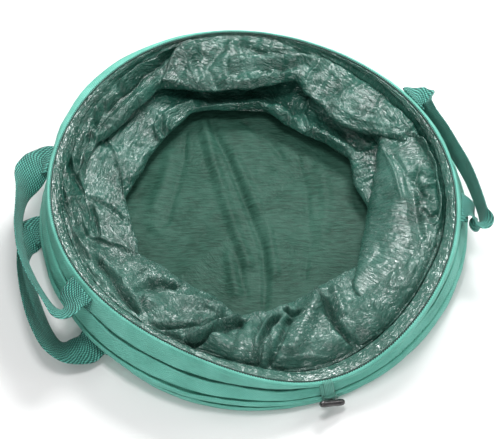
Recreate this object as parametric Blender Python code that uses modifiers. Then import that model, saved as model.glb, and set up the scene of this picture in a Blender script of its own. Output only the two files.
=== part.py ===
# Pop-up garden leaf bag, folded down and held by its toggle.
# Four spring hoops (bottom, two middle, rim) stand in a stack.  Sleeves of
# woven tape hold the hoops, laminated wall panels fold inwards between them,
# and webbing handles hang outside.  Units are metres, +Z is up, the origin is
# the centre of the underside of the base.
import math

import bmesh
import bpy
from mathutils import Vector

# ---------------------------------------------------------------- dimensions
RIM_RADIUS = 0.280          # mean inner radius of the rim
STACK_HEIGHT = 0.0828       # mean height of the rim's top edge, folded down
STACK_FOOT = 0.003          # height at which the stack of bands starts
BASE_RADIUS = 0.299         # outer radius of the bottom hoop's hem
WAIST_RADIUS = 0.286        # outer radius where the rim band ends
WIRE_RADIUS = 0.0015        # spring steel wire, 3 mm
TAPE = 0.0009               # thickness of the sleeve tape
LAMINATE = 0.0012           # thickness of a folded wall layer
BASE_THICK = 0.0020         # base panel
SLEEVE_DEPTH = 0.010        # how far a sleeve reaches inwards
STRAP_WIDTH = 0.044         # carrying webbing
STRAP_THICK = 0.0016
HINGE_OFF = 0.0121          # from a hem's outside to the swing axis of a handle
PINCH_AZ = math.radians(-69.5)
TOGGLE_AZ = math.radians(-71.5)
TOGGLE_STRAP_WIDTH = 0.015
TOGGLE_BAR_LENGTH = 0.037
TOGGLE_BAR_RADIUS = 0.0048
TOGGLE_BAR_TILT = math.radians(25.0)  # the bar hangs turned on its stem
GAP = 0.0004                # clearance between touching pieces
SEGMENTS = 48               # facets round a hoop
WIRE_BREAK = 13              # station after which a hoop's wire is broken

# Share of the stack's height that each band covers, bottom to top.
BAND_BASE = (0.00, 0.155)
BAND_COIL_1 = (0.17, 0.340)
BAND_COIL_2 = (0.36, 0.655)
BAND_RIM = (0.68, 1.000)


# ------------------------------------------------------------ stack geometry
def turn(a):
    """The angle a brought to the range -pi to pi."""
    return (a + math.pi) % (2 * math.pi) - math.pi


def hump(a, centre, width):
    """A smooth local bump round the hoop."""
    return math.exp(-((turn(a - centre) / width) ** 2))


def rim_radius(a):
    """The strained rim hoop is a little oval, with its long way at -50 degrees."""
    return RIM_RADIUS * (
        1
        - 0.0057 * math.cos(2 * a)
        - 0.0353 * math.sin(2 * a)
        - 0.0042 * math.cos(3 * a)
        + 0.0093 * math.sin(4 * a)
    )


def rim_height(a):
    """The rim leans a little and is pulled down at the toggle."""
    r = rim_radius(a)
    return (
        STACK_HEIGHT
        - 0.0136 * r * math.cos(a)
        - 0.0130 * r * math.sin(a)
        - 0.045 * hump(a, PINCH_AZ, 0.45)
    )


def level(share, a):
    """Height at a share of the stack, 0 at its foot and 1 at the rim's top."""
    return STACK_FOOT + share * (rim_height(a) - STACK_FOOT)


def outside(share, a):
    """Outer radius of the stack at a share of its height."""
    foot = BASE_RADIUS - 0.009 * hump(a, math.radians(226), 0.32)
    belly = BASE_RADIUS
    waist = (
        WAIST_RADIUS
        + 0.3 * (rim_radius(a) - RIM_RADIUS)
        + 0.0075 * hump(a, math.radians(145), 0.45)
    )
    top = rim_radius(a) + 0.003
    knots = ((0.0, foot), (0.28, belly), (0.68, waist), (1.0, top))
    for (s0, r0), (s1, r1) in zip(knots, knots[1:]):
        if share <= s1:
            t = min(1.0, max(0.0, (share - s0) / (s1 - s0)))
            return r0 + (r1 - r0) * t
    return top


def at(r, a, z):
    return Vector((r * math.cos(a), r * math.sin(a), z))


# ------------------------------------------------------------- scene helpers
for old in list(bpy.data.objects):
    bpy.data.objects.remove(old, do_unlink=True)

BAG = bpy.data.collections.new("pop_up_leaf_bag")
CUTTERS = bpy.data.collections.new("cutters")
bpy.context.scene.collection.children.link(BAG)
bpy.context.scene.collection.children.link(CUTTERS)


def material(name, color, roughness, metallic=0.0):
    mat = bpy.data.materials.new(name)
    mat.use_nodes = True
    shader = mat.node_tree.nodes["Principled BSDF"]
    shader.inputs["Base Color"].default_value = (*color, 1.0)
    shader.inputs["Roughness"].default_value = roughness
    shader.inputs["Metallic"].default_value = metallic
    mat.diffuse_color = (*color, 1.0)
    return mat


LAMINATE_MAT = material("laminate", (0.050, 0.155, 0.115), 0.30)
BASE_MAT = material("base_laminate", (0.045, 0.135, 0.100), 0.38)
TAPE_MAT = material("sleeve_tape", (0.100, 0.360, 0.275), 0.75)
WEBBING_MAT = material("webbing", (0.045, 0.260, 0.205), 0.85)
STEEL_MAT = material("spring_steel", (0.42, 0.42, 0.44), 0.32, 1.0)
PLASTIC_MAT = material("toggle_plastic", (0.035, 0.033, 0.035), 0.28)


def carrier(name, place, parent=None):
    """An empty that carries a moving group; it sits on the group's joint axis."""
    empty = bpy.data.objects.new(name, None)
    empty.empty_display_size = 0.03
    BAG.objects.link(empty)
    empty.parent = parent
    empty.location = Vector(place) - (parent_place(parent) if parent else Vector())
    return empty


def parent_place(empty):
    place = Vector()
    while empty is not None:
        place += empty.location
        empty = empty.parent
    return place


def add(name, mesh, mat, parent, sharp=40.0):
    """Link a mesh that was built in world coordinates under its carrier."""
    obj = bpy.data.objects.new(name, mesh)
    BAG.objects.link(obj)
    obj.parent = parent
    offset = parent_place(parent)
    for vertex in mesh.vertices:
        vertex.co -= offset
    mesh.materials.append(mat)
    mesh.shade_smooth()
    mesh.set_sharp_from_angle(angle=math.radians(sharp))
    return obj


def mesh_from(name, points, faces):
    mesh = bpy.data.meshes.new(name)
    mesh.from_pydata([tuple(p) for p in points], [], faces)
    mesh.validate()
    bm = bmesh.new()
    bm.from_mesh(mesh)
    bmesh.ops.recalc_face_normals(bm, faces=bm.faces)
    bm.to_mesh(mesh)
    bm.free()
    return mesh


def hoop_loft(name, section):
    """A closed band: the closed (radius, height) outline section(a), which
    changes round the hoop, lofted through SEGMENTS stations."""
    rows = []
    for i in range(SEGMENTS):
        a = 2 * math.pi * i / SEGMENTS
        rows.append([at(r, a, z) for r, z in section(a)])
    count = len(rows[0])
    points = [p for row in rows for p in row]
    faces = []
    for i in range(SEGMENTS):
        j = (i + 1) % SEGMENTS
        for k in range(count):
            m = (k + 1) % count
            faces.append((i * count + k, i * count + m, j * count + m, j * count + k))
    return mesh_from(name, points, faces)


def sheet_grid(name, grid):
    """An open surface through a grid of points."""
    rows, cols = len(grid), len(grid[0])
    points = [p for row in grid for p in row]
    faces = [
        (i * cols + k, i * cols + k + 1, (i + 1) * cols + k + 1, (i + 1) * cols + k)
        for i in range(rows - 1)
        for k in range(cols - 1)
    ]
    mesh = bpy.data.meshes.new(name)
    mesh.from_pydata([tuple(p) for p in points], [], faces)
    return mesh


def solidify(obj, thickness, offset):
    mod = obj.modifiers.new("thickness", "SOLIDIFY")
    mod.thickness = thickness
    mod.offset = offset
    mod.use_even_offset = False
    mod.use_rim = True
    return mod


def smooth_path(knots, per_span):
    """Points of a Catmull-Rom curve through the knots, ends included."""
    pts = [knots[0] * 2 - knots[1]] + list(knots) + [knots[-1] * 2 - knots[-2]]
    out = []
    for i in range(1, len(pts) - 2):
        p0, p1, p2, p3 = pts[i - 1], pts[i], pts[i + 1], pts[i + 2]
        for k in range(per_span):
            t = k / per_span
            out.append(
                0.5
                * (
                    (2 * p1)
                    + (p2 - p0) * t
                    + (2 * p0 - 5 * p1 + 4 * p2 - p3) * t * t
                    + (3 * p1 - p0 - 3 * p2 + p3) * t * t * t
                )
            )
    out.append(knots[-1].copy())
    return out


def ribbon(name, route, mat, parent, width, thickness, per_span=4):
    """Flat webbing along a route of (place, direction across the webbing)."""
    mids = smooth_path([Vector(p) for p, _ in route], per_span)
    across = smooth_path([Vector(w).normalized() for _, w in route], per_span)
    grid = []
    for mid, side in zip(mids, across):
        side = side.normalized()
        grid.append([mid + side * (width * (k / 2 - 0.5)) for k in range(3)])
    obj = add(name, sheet_grid(name, grid), mat, parent)
    solidify(obj, thickness, 0.0)
    return obj


# ------------------------------------------------------------------ carriers
base = carrier("base_carrier", (0, 0, 0))
coil_1 = carrier("coil_1_carrier", (0, 0, level(0.25, 0)), base)
coil_2 = carrier("coil_2_carrier", (0, 0, level(0.50, 0)), coil_1)
rim = carrier("rim_carrier", (0, 0, level(0.95, 0)), coil_2)


# ---------------------------------------------------------------- the sleeves
def sleeve_section(band):
    """A tape sleeve: a C that holds its hoop and is open towards the inside,
    where it is sewn to the wall."""
    low, high = band

    def section(a):
        z0, z1 = level(low, a), level(high, a)
        if low == 0.0:
            z0 = 0.0
        mid = 0.5 * (low + high)
        zm = 0.5 * (z0 + z1)
        ro0, rom, ro1 = outside(low, a), outside(mid, a) + 0.0006, outside(high, a)
        inner0, inner1 = ro0 - SLEEVE_DEPTH, ro1 - SLEEVE_DEPTH
        edge = 0.0011
        return [
            (inner0, z0),
            (ro0 - edge, z0),
            (ro0, z0 + edge),
            (rom, zm),
            (ro1, z1 - edge),
            (ro1 - edge, z1),
            (inner1, z1),
            (inner1, z1 - TAPE),
            (ro1 - edge - TAPE * 0.4, z1 - TAPE),
            (rom - TAPE, zm),
            (ro0 - edge - TAPE * 0.4, z0 + TAPE),
            (inner0, z0 + TAPE),
        ]

    return section


def rim_section(a):
    """The rim hem: a broad band outside, turned over the rim hoop and down
    inside as a short lip."""
    z0, z1 = level(BAND_RIM[0], a), level(BAND_RIM[1], a)
    ro0, ro1 = outside(BAND_RIM[0], a), outside(1.0, a)
    r = rim_radius(a)
    rom = max(outside(0.84, a) + 0.0008, r + 0.0026)
    zm = level(0.84, a)
    lip = r - 0.0042
    lip_z = z1 - 0.0090
    return [
        (ro0 - TAPE, z0),
        (ro0, z0),
        (rom, zm),
        (ro1, z1 - 0.0026),
        (ro1 - 0.0016, z1 - 0.0006),
        (r - 0.0004, z1),
        (lip + 0.0012, z1 - 0.0008),
        (lip, z1 - 0.0028),
        (lip, lip_z),
        (lip + TAPE, lip_z),
        (lip + TAPE, z1 - 0.0030),
        (r - 0.0004, z1 - TAPE - 0.0002),
        (ro1 - TAPE, z1 - 0.0030),
        (rom - TAPE, zm),
    ]


def wire_place(body, a):
    """Centre of the hoop's wire inside its sleeve."""
    if body == "rim":
        return at(rim_radius(a) - 0.0004, a, level(1.0, a) - 0.0030 - WIRE_RADIUS)
    low, high = {"base": BAND_BASE, "coil_1": BAND_COIL_1, "coil_2": BAND_COIL_2}[body]
    z0 = 0.0 if low == 0.0 else level(low, a)
    return at(
        outside(0.5 * (low + high), a) - 0.0052, a, 0.5 * (z0 + level(high, a))
    )


def wire_path(body):
    """Points of one turn, on the same stations as the sleeve round it, with a
    short break."""
    stations = [wire_place(body, 2 * math.pi * i / SEGMENTS) for i in range(SEGMENTS)]
    first, second = stations[WIRE_BREAK], stations[WIRE_BREAK + 1]
    path = [first.lerp(second, 0.62)]
    path += [stations[(WIRE_BREAK + 1 + i) % SEGMENTS] for i in range(SEGMENTS)]
    path.append(first.lerp(second, 0.24))
    return path


def spring_turn(name, body, parent):
    """One turn of the spring steel wire as a round-bevelled poly curve."""
    curve = bpy.data.curves.new(name, "CURVE")
    curve.dimensions = "3D"
    curve.bevel_depth = WIRE_RADIUS
    curve.bevel_resolution = 2
    curve.use_fill_caps = True
    spline = curve.splines.new("POLY")
    path = wire_path(body)
    spline.points.add(len(path) - 1)
    offset = parent_place(parent)
    for i, p in enumerate(path):
        spline.points[i].co = (*(p - offset), 1.0)
    obj = bpy.data.objects.new(name, curve)
    BAG.objects.link(obj)
    obj.parent = parent
    curve.materials.append(STEEL_MAT)
    return obj


def spring_end_cap(name, body, parent):
    """Turned plastic tip in front of the cut end of the wire."""
    mesh = bpy.data.meshes.new(name)
    length, radius = 0.0085, 0.0019
    outline = [(0.0, length), (0.5, length - 0.0004), (0.86, length - 0.0014),
               (1.0, length - 0.0028), (1.0, 0.0006), (0.8, 0.0), (0.0, 0.0)]
    mesh.from_pydata(
        [(k * radius, 0.0, z) for k, z in outline],
        [(i, i + 1) for i in range(len(outline) - 1)],
        [],
    )
    obj = bpy.data.objects.new(name, mesh)
    BAG.objects.link(obj)
    mesh.materials.append(PLASTIC_MAT)
    screw = obj.modifiers.new("turned", "SCREW")
    screw.axis = "Z"
    screw.steps = screw.render_steps = 12
    screw.use_merge_vertices = True
    screw.merge_threshold = 0.00001
    end, before = wire_path(body)[:2]
    out = (end - before).normalized()
    obj.parent = parent
    obj.location = end + out * GAP - parent_place(parent)
    obj.rotation_euler = out.to_track_quat("Z", "Y").to_euler()
    return obj


add("base_hem", hoop_loft("base_hem", sleeve_section(BAND_BASE)), TAPE_MAT, base)
add("coil_sleeve_1", hoop_loft("coil_sleeve_1", sleeve_section(BAND_COIL_1)), TAPE_MAT, coil_1)
add("coil_sleeve_2", hoop_loft("coil_sleeve_2", sleeve_section(BAND_COIL_2)), TAPE_MAT, coil_2)
add("rim_hem", hoop_loft("rim_hem", rim_section), TAPE_MAT, rim)
spring_turn("spring_turn_base", "base", base)
spring_turn("spring_turn_1", "coil_1", coil_1)
spring_turn("spring_turn_2", "coil_2", coil_2)
spring_turn("spring_turn_rim", "rim", rim)
spring_end_cap("spring_end_cap_base", "base", base)
spring_end_cap("spring_end_cap_rim", "rim", rim)


# ------------------------------------------------------------- the base panel
def base_section_radius(a):
    return outside(0.0, a) - SLEEVE_DEPTH - GAP


def base_panel():
    """A flat round of laminate: the outline filled and extruded."""
    curve = bpy.data.curves.new("base_outline", "CURVE")
    curve.dimensions = "2D"
    curve.fill_mode = "BOTH"
    curve.extrude = BASE_THICK / 2
    spline = curve.splines.new("POLY")
    spline.points.add(SEGMENTS - 1)
    for i in range(SEGMENTS):
        a = 2 * math.pi * i / SEGMENTS
        p = at(base_section_radius(a), a, 0.0)
        spline.points[i].co = (p.x, p.y, 0.0, 1.0)
    spline.use_cyclic_u = True
    curve.materials.append(BASE_MAT)
    obj = bpy.data.objects.new("base_panel", curve)
    BAG.objects.link(obj)
    obj.parent = base
    obj.location = (0.0, 0.0, BASE_THICK / 2)
    return obj


base_panel()


# ------------------------------------------------------------ the wall panels
def wall_section(low, high, nose, sway, phase, lobes):
    """A wall panel folded inwards between two hoops: two layers that meet in a
    rounded nose, open towards the outside.  The nose wanders in and out with
    the pleats."""

    def section(a):
        tip = nose + sway * math.cos(lobes * a + phase) + 0.004 * math.cos(5 * a - phase)
        z0, z1 = level(low, a), level(high, a)
        root0 = outside(low, a) - SLEEVE_DEPTH - GAP - 0.0006
        root1 = min(outside(high, a) - SLEEVE_DEPTH - GAP - 0.0006, rim_radius(a) - 0.0125)
        zn = 0.5 * (z0 + z1)
        half = 0.5 * (z1 - z0)
        t = LAMINATE
        knee = tip + 0.008
        return [
            (root1, z1),
            (root1, z1 - t),
            (knee + t, zn + 0.42 * half - 0.4 * t),
            (tip + 1.6 * t, zn),
            (knee + t, zn - 0.42 * half + 0.4 * t),
            (root0, z0 + t),
            (root0, z0),
            (knee, zn - 0.62 * half),
            (tip + 0.002, zn - 0.30 * half),
            (tip, zn),
            (tip + 0.002, zn + 0.30 * half),
            (knee, zn + 0.62 * half),
        ]

    return section


add(
    "wall_panel_lower",
    hoop_loft("wall_panel_lower", wall_section(0.03, 0.325, 0.166, 0.007, 0.4, 8)),
    LAMINATE_MAT,
    coil_1,
)
add(
    "wall_panel_middle",
    hoop_loft("wall_panel_middle", wall_section(0.345, 0.635, 0.180, 0.008, 1.9, 7)),
    LAMINATE_MAT,
    coil_2,
)
add(
    "wall_panel_upper",
    hoop_loft("wall_panel_upper", wall_section(0.655, 0.930, 0.206, 0.009, 3.1, 9)),
    LAMINATE_MAT,
    rim,
)


def facing_section(a):
    """The lining's top edge, sewn down inside the rim as a narrow strip."""
    r = rim_radius(a) - 0.0042 - GAP
    z1, z0 = level(1.0, a) - 0.0022, level(0.78, a)
    foot = r - 0.0045
    return [(r, z1), (foot, z0), (foot - 0.0009, z0), (r - 0.0009, z1)]


add("lining_facing", hoop_loft("lining_facing", facing_section), LAMINATE_MAT, rim)


# ---------------------------------------------------------------- sewn tabs
def sewn_tab(name, azimuth, low, high, parent, width=STRAP_WIDTH):
    """The end of a webbing handle, sewn flat on a band outside."""
    grid = []
    for i in range(4):
        share = low + (high - low) * i / 3
        row = []
        for k in range(5):
            r = outside(share, azimuth) + 0.0006
            a = azimuth + (k / 4 - 0.5) * width / r
            row.append(at(outside(share, a) + 0.0006 + GAP + 0.0005, a, level(share, a)))
        grid.append(row)
    obj = add(name, sheet_grid(name, grid), WEBBING_MAT, parent)
    solidify(obj, 0.0014, 1.0)
    bm = bmesh.new()
    bm.from_mesh(obj.data)
    outward = at(1.0, azimuth, 0.0)
    if sum((f.normal * f.calc_area() for f in bm.faces), Vector()).dot(outward) < 0:
        bmesh.ops.reverse_faces(bm, faces=bm.faces)
    bm.to_mesh(obj.data)
    bm.free()
    return obj


LEFT_REAR, LEFT_FRONT = math.radians(172.0), math.radians(217.0)
RIGHT_REAR, RIGHT_FRONT = math.radians(34.0), math.radians(-7.0)
TIP_REAR, TIP_FRONT = math.radians(186.0), math.radians(224.5)

sewn_tab("left_handle_tab_rear", LEFT_REAR, 0.71, 0.965, rim)
sewn_tab("left_handle_tab_front", LEFT_FRONT, 0.71, 0.965, rim)
sewn_tab("right_handle_tab_rear", RIGHT_REAR, 0.71, 0.965, rim)
sewn_tab("right_handle_tab_front", RIGHT_FRONT, 0.71, 0.965, rim)
sewn_tab("tipping_handle_tab_rear", TIP_REAR, 0.02, 0.140, base)
sewn_tab("tipping_handle_tab_front", TIP_FRONT, 0.02, 0.140, base)


# ------------------------------------------------------------------- handles
def hinge_point(azimuth, share):
    """The end of a handle, just clear of its tab and of the hem's curve."""
    return at(outside(share, azimuth) + HINGE_OFF, azimuth, level(share, azimuth))


left_a, left_b = hinge_point(LEFT_REAR, 0.90), hinge_point(LEFT_FRONT, 0.90)
right_a, right_b = hinge_point(RIGHT_REAR, 0.88), hinge_point(RIGHT_FRONT, 0.88)
tip_a, tip_b = hinge_point(TIP_REAR, 0.10), hinge_point(TIP_FRONT, 0.10)

left_pivot = carrier("left_carry_handle_pivot", left_a, rim)
right_pivot = carrier("right_carry_handle_pivot", right_a, rim)
tip_pivot = carrier("tipping_handle_pivot", tip_a, base)

chord_l = (left_b - left_a).normalized()
chord_r = (right_b - right_a).normalized()
chord_t = (tip_b - tip_a).normalized()

# Each handle lies folded down beside the bag: flat where it leaves the hem and
# standing on edge along its run.
ribbon(
    "left_carry_handle",
    [
        (left_a, chord_l * -1),
        ((-0.3090, 0.0390, 0.0775), (-0.25, 0.93, 0.25)),
        ((-0.3165, 0.0240, 0.0735), (-0.18, 0.75, 0.63)),
        ((-0.3200, -0.0020, 0.0700), (-0.05, 0.30, 0.95)),
        ((-0.3190, -0.0400, 0.0690), (0.00, 0.00, 1.00)),
        ((-0.3110, -0.0800, 0.0690), (0.00, 0.00, 1.00)),
        ((-0.2995, -0.1150, 0.0690), (-0.04, -0.04, 1.00)),
        ((-0.2850, -0.1500, 0.0690), (-0.06, -0.08, 0.99)),
        ((-0.2690, -0.1770, 0.0700), (-0.05, -0.25, 0.96)),
        ((-0.2560, -0.1860, 0.0730), (0.15, -0.75, 0.60)),
        (left_b, chord_l),
    ],
    WEBBING_MAT,
    left_pivot,
    STRAP_WIDTH,
    STRAP_THICK,
)
ribbon(
    "right_carry_handle",
    [
        (right_a, chord_r * -1),
        ((0.2500, 0.1635, 0.0675), (-0.25, 0.93, 0.25)),
        ((0.2625, 0.1540, 0.0640), (-0.20, 0.75, 0.60)),
        ((0.2770, 0.1290, 0.0600), (-0.05, 0.35, 0.93)),
        ((0.2930, 0.0930, 0.0575), (0.00, 0.00, 1.00)),
        ((0.3060, 0.0520, 0.0560), (0.00, 0.00, 1.00)),
        ((0.3150, 0.0120, 0.0560), (0.00, -0.05, 1.00)),
        ((0.3175, -0.0140, 0.0585), (0.00, -0.45, 0.89)),
        ((0.3135, -0.0300, 0.0635), (0.12, -0.85, 0.50)),
        ((0.3045, -0.0365, 0.0685), (0.24, -0.94, 0.15)),
        (right_b, chord_r),
    ],
    WEBBING_MAT,
    right_pivot,
    STRAP_WIDTH,
    STRAP_THICK,
)
ribbon(
    "tipping_handle",
    [
        (tip_a, chord_t * -1),
        ((-0.3165, -0.0385, 0.0140), (-0.42, 0.85, 0.30)),
        ((-0.3210, -0.0540, 0.0190), (-0.25, 0.60, 0.76)),
        ((-0.3195, -0.0800, 0.0226), (-0.06, 0.15, 0.98)),
        ((-0.3150, -0.1080, 0.0228), (0.00, 0.00, 1.00)),
        ((-0.3060, -0.1380, 0.0228), (0.00, 0.00, 1.00)),
        ((-0.2950, -0.1680, 0.0228), (-0.04, -0.05, 1.00)),
        ((-0.2810, -0.1970, 0.0228), (-0.04, -0.20, 0.98)),
        ((-0.2630, -0.2190, 0.0205), (0.05, -0.60, 0.80)),
        ((-0.2440, -0.2260, 0.0160), (0.30, -0.85, 0.40)),
        ((-0.2270, -0.2185, 0.0130), (0.43, -0.88, 0.12)),
        (tip_b, chord_t),
    ],
    WEBBING_MAT,
    tip_pivot,
    STRAP_WIDTH,
    STRAP_THICK,
)

# -------------------------------------------------------------------- toggle
OUT = at(1.0, TOGGLE_AZ, 0.0)                 # away from the bag
ALONG = Vector((-math.sin(TOGGLE_AZ), math.cos(TOGGLE_AZ), 0.0))
UP = Vector((0.0, 0.0, 1.0))


def toggle_at(r, z, along=0.0):
    return OUT * r + ALONG * along + UP * z


STRAP_R, COLLAR_R, BAR_R, LOOP_R = 0.3034, 0.3059, 0.3130, 0.3012
BAR_Z = 0.0195

toggle_top = toggle_at(outside(0.92, TOGGLE_AZ) + 0.0024, level(0.92, TOGGLE_AZ))
toggle_pivot = carrier("toggle_strap_pivot", toggle_top, rim)
bar_centre = toggle_at(BAR_R, BAR_Z)
bar_pivot = carrier("toggle_bar_pivot", bar_centre, toggle_pivot)

# Narrow ribbed webbing that hangs from the rim over the stack.
strap_line = [
    toggle_top,
    toggle_at(0.3005, 0.0305),
    toggle_at(STRAP_R, 0.0255),
    toggle_at(STRAP_R, 0.0190),
    toggle_at(STRAP_R, 0.0125),
]
ribbon(
    "toggle_strap",
    [(p, ALONG) for p in strap_line],
    TAPE_MAT,
    toggle_pivot,
    TOGGLE_STRAP_WIDTH,
    0.0013,
    per_span=3,
)


def rounded_box(name, centre, size, bevel, mat, parent):
    """A box across, up and out from the bag, with rounded edges."""
    mesh = bpy.data.meshes.new(name)
    bm = bmesh.new()
    bmesh.ops.create_cube(bm, size=1.0)
    for v in bm.verts:
        v.co = Vector((v.co.x * size[0], v.co.y * size[1], v.co.z * size[2]))
    bm.to_mesh(mesh)
    bm.free()
    obj = bpy.data.objects.new(name, mesh)
    BAG.objects.link(obj)
    obj.parent = parent
    obj.location = centre - parent_place(parent)
    obj.rotation_euler = (0.0, 0.0, TOGGLE_AZ)
    mesh.materials.append(mat)
    mod = obj.modifiers.new("rounded", "BEVEL")
    mod.width = bevel
    mod.segments = 2
    mesh.shade_smooth()
    mesh.set_sharp_from_angle(angle=math.radians(40))
    return obj


# Gathered collar sewn to the end of the webbing; the bar's stem turns in it.
collar = rounded_box(
    "toggle_collar",
    toggle_at(COLLAR_R, BAR_Z),
    (0.0030, 0.0230, 0.0130),
    0.0009,
    TAPE_MAT,
    toggle_pivot,
)
bore = bpy.data.meshes.new("collar_bore")
bm = bmesh.new()
bmesh.ops.create_cone(
    bm, cap_ends=True, segments=24, radius1=0.0026, radius2=0.0026, depth=0.02
)
bm.to_mesh(bore)
bm.free()
bore_obj = bpy.data.objects.new("collar_bore", bore)
CUTTERS.objects.link(bore_obj)
bore_obj.parent = toggle_pivot
bore_obj.location = toggle_at(COLLAR_R, BAR_Z) - parent_place(toggle_pivot)
bore_obj.rotation_euler = OUT.to_track_quat("Z", "Y").to_euler()
bore_obj.hide_render = True
bore_obj.display_type = "WIRE"
cut = collar.modifiers.new("stem_bore", "BOOLEAN")
cut.operation = "DIFFERENCE"
cut.solver = "EXACT"
cut.object = bore_obj

# The bar: a turned cross-piece, thicker at its ends, with a short stem.
bar_mesh = bpy.data.meshes.new("toggle_bar")
bm = bmesh.new()
half = TOGGLE_BAR_LENGTH / 2
rows = []
profile = [(-1.0, 0.30), (-0.97, 0.66), (-0.88, 0.92), (-0.74, 1.0), (-0.45, 0.88),
           (0.0, 0.80), (0.45, 0.88), (0.74, 1.0), (0.88, 0.92), (0.97, 0.66), (1.0, 0.30)]
sides = 16
for share, k in profile:
    ring = []
    for j in range(sides):
        t = 2 * math.pi * j / sides
        r = TOGGLE_BAR_RADIUS * k
        ring.append(bm.verts.new((r * math.cos(t), share * half, r * math.sin(t))))
    rows.append(ring)
for i in range(len(rows) - 1):
    for j in range(sides):
        bm.faces.new((rows[i][j], rows[i][(j + 1) % sides],
                      rows[i + 1][(j + 1) % sides], rows[i + 1][j]))
bm.faces.new(rows[0])
bm.faces.new(list(reversed(rows[-1])))
bmesh.ops.recalc_face_normals(bm, faces=bm.faces)
bm.to_mesh(bar_mesh)
bm.free()
bar = bpy.data.objects.new("toggle_bar", bar_mesh)
BAG.objects.link(bar)
bar.parent = bar_pivot
bar.rotation_euler = (-TOGGLE_BAR_TILT, 0.0, TOGGLE_AZ)
bar_mesh.materials.append(PLASTIC_MAT)
bar_mesh.shade_smooth()
bar_mesh.set_sharp_from_angle(angle=math.radians(50))

stem_mesh = bpy.data.meshes.new("toggle_stem")
bm = bmesh.new()
bmesh.ops.create_cone(
    bm, cap_ends=True, segments=16, radius1=0.0022, radius2=0.0022, depth=0.0074
)
bm.to_mesh(stem_mesh)
bm.free()
stem = bpy.data.objects.new("toggle_stem", stem_mesh)
CUTTERS.objects.link(stem)
stem.parent = bar_pivot
stem.location = OUT * (-0.0044)
stem.rotation_euler = OUT.to_track_quat("Z", "Y").to_euler()
stem.hide_render = True
stem.display_type = "WIRE"
join = bar.modifiers.new("stem", "BOOLEAN")
join.operation = "UNION"
join.solver = "EXACT"
join.object = stem

# Receiving loop on the bottom hoop: elastic cord in a narrow U behind the
# webbing, its two ends sewn to the base hem.
loop_curve = bpy.data.curves.new("toggle_loop", "CURVE")
loop_curve.dimensions = "3D"
loop_curve.bevel_depth = 0.0010
loop_curve.bevel_resolution = 2
loop_curve.use_fill_caps = True
loop_spline = loop_curve.splines.new("POLY")
leg, low_z, high_z = 0.0072, 0.0035, 0.0200
loop_points = [toggle_at(LOOP_R, low_z, -leg), toggle_at(LOOP_R, low_z + 0.004, -leg)]
for i in range(9):
    t = math.pi * i / 8
    loop_points.append(
        toggle_at(LOOP_R, high_z + leg * math.sin(t) * 0.8, -leg * math.cos(t))
    )
loop_points += [toggle_at(LOOP_R, low_z + 0.004, leg), toggle_at(LOOP_R, low_z, leg)]
loop_spline.points.add(len(loop_points) - 1)
for i, p in enumerate(loop_points):
    loop_spline.points[i].co = (*p, 1.0)
loop_obj = bpy.data.objects.new("toggle_loop", loop_curve)
BAG.objects.link(loop_obj)
loop_obj.parent = base
loop_curve.materials.append(PLASTIC_MAT)
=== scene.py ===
import math

import bmesh
import bpy
import numpy as np
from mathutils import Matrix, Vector


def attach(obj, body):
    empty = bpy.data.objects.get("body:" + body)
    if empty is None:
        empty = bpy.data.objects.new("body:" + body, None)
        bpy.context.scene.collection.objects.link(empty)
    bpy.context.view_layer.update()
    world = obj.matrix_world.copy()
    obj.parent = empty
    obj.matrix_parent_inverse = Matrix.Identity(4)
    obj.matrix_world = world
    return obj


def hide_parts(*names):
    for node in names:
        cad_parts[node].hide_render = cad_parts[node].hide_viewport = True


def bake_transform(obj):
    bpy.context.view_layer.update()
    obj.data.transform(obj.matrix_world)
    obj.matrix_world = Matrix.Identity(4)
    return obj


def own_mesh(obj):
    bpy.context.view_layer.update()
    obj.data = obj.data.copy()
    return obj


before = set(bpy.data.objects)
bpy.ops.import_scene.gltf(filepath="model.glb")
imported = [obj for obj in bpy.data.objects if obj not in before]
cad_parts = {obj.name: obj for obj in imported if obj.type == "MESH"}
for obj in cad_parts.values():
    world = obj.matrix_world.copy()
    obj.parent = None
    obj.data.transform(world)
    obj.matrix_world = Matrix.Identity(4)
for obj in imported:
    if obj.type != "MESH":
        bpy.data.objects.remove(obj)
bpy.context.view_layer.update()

PI = math.pi
SLEEVE_DEPTH = 0.010
BANDS = {
    "base": (0.0, 0.155),
    "coil_1": (0.17, 0.340),
    "coil_2": (0.36, 0.655),
    "rim": (0.68, 1.0),
}


# --------------------------------------------------------------- the bag's form
def turn(a):
    return (a + PI) % (2 * PI) - PI


def hump(a, centre, width):
    return np.exp(-((turn(a - centre) / width) ** 2))


def rim_radius(a):
    return 0.280 * (
        1 - 0.0057 * np.cos(2 * a) - 0.0353 * np.sin(2 * a)
        - 0.0042 * np.cos(3 * a) + 0.0093 * np.sin(4 * a)
    )


def rim_height(a):
    r = rim_radius(a)
    return (
        0.0828 - 0.0136 * r * np.cos(a) - 0.0130 * r * np.sin(a)
        - 0.045 * hump(a, math.radians(-69.5), 0.45)
    )


def level(share, a):
    return 0.003 + share * (rim_height(a) - 0.003)


def outside(share, a):
    foot = 0.299 - 0.009 * hump(a, math.radians(226), 0.32)
    belly = 0.299 + 0 * a
    waist = 0.286 + 0.3 * (rim_radius(a) - 0.280) + 0.0075 * hump(a, math.radians(145), 0.45)
    top = rim_radius(a) + 0.003
    knots = [(0.0, foot), (0.28, belly), (0.68, waist), (1.0, top)]
    out = knots[-1][1] + 0 * a + 0 * share
    for (s0, r0), (s1, r1) in zip(knots, knots[1:]):
        t = np.clip((share - s0) / (s1 - s0), 0, 1)
        out = np.where(share <= s1, np.where(share >= s0, r0 + (r1 - r0) * t, out), out)
    return out


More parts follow.
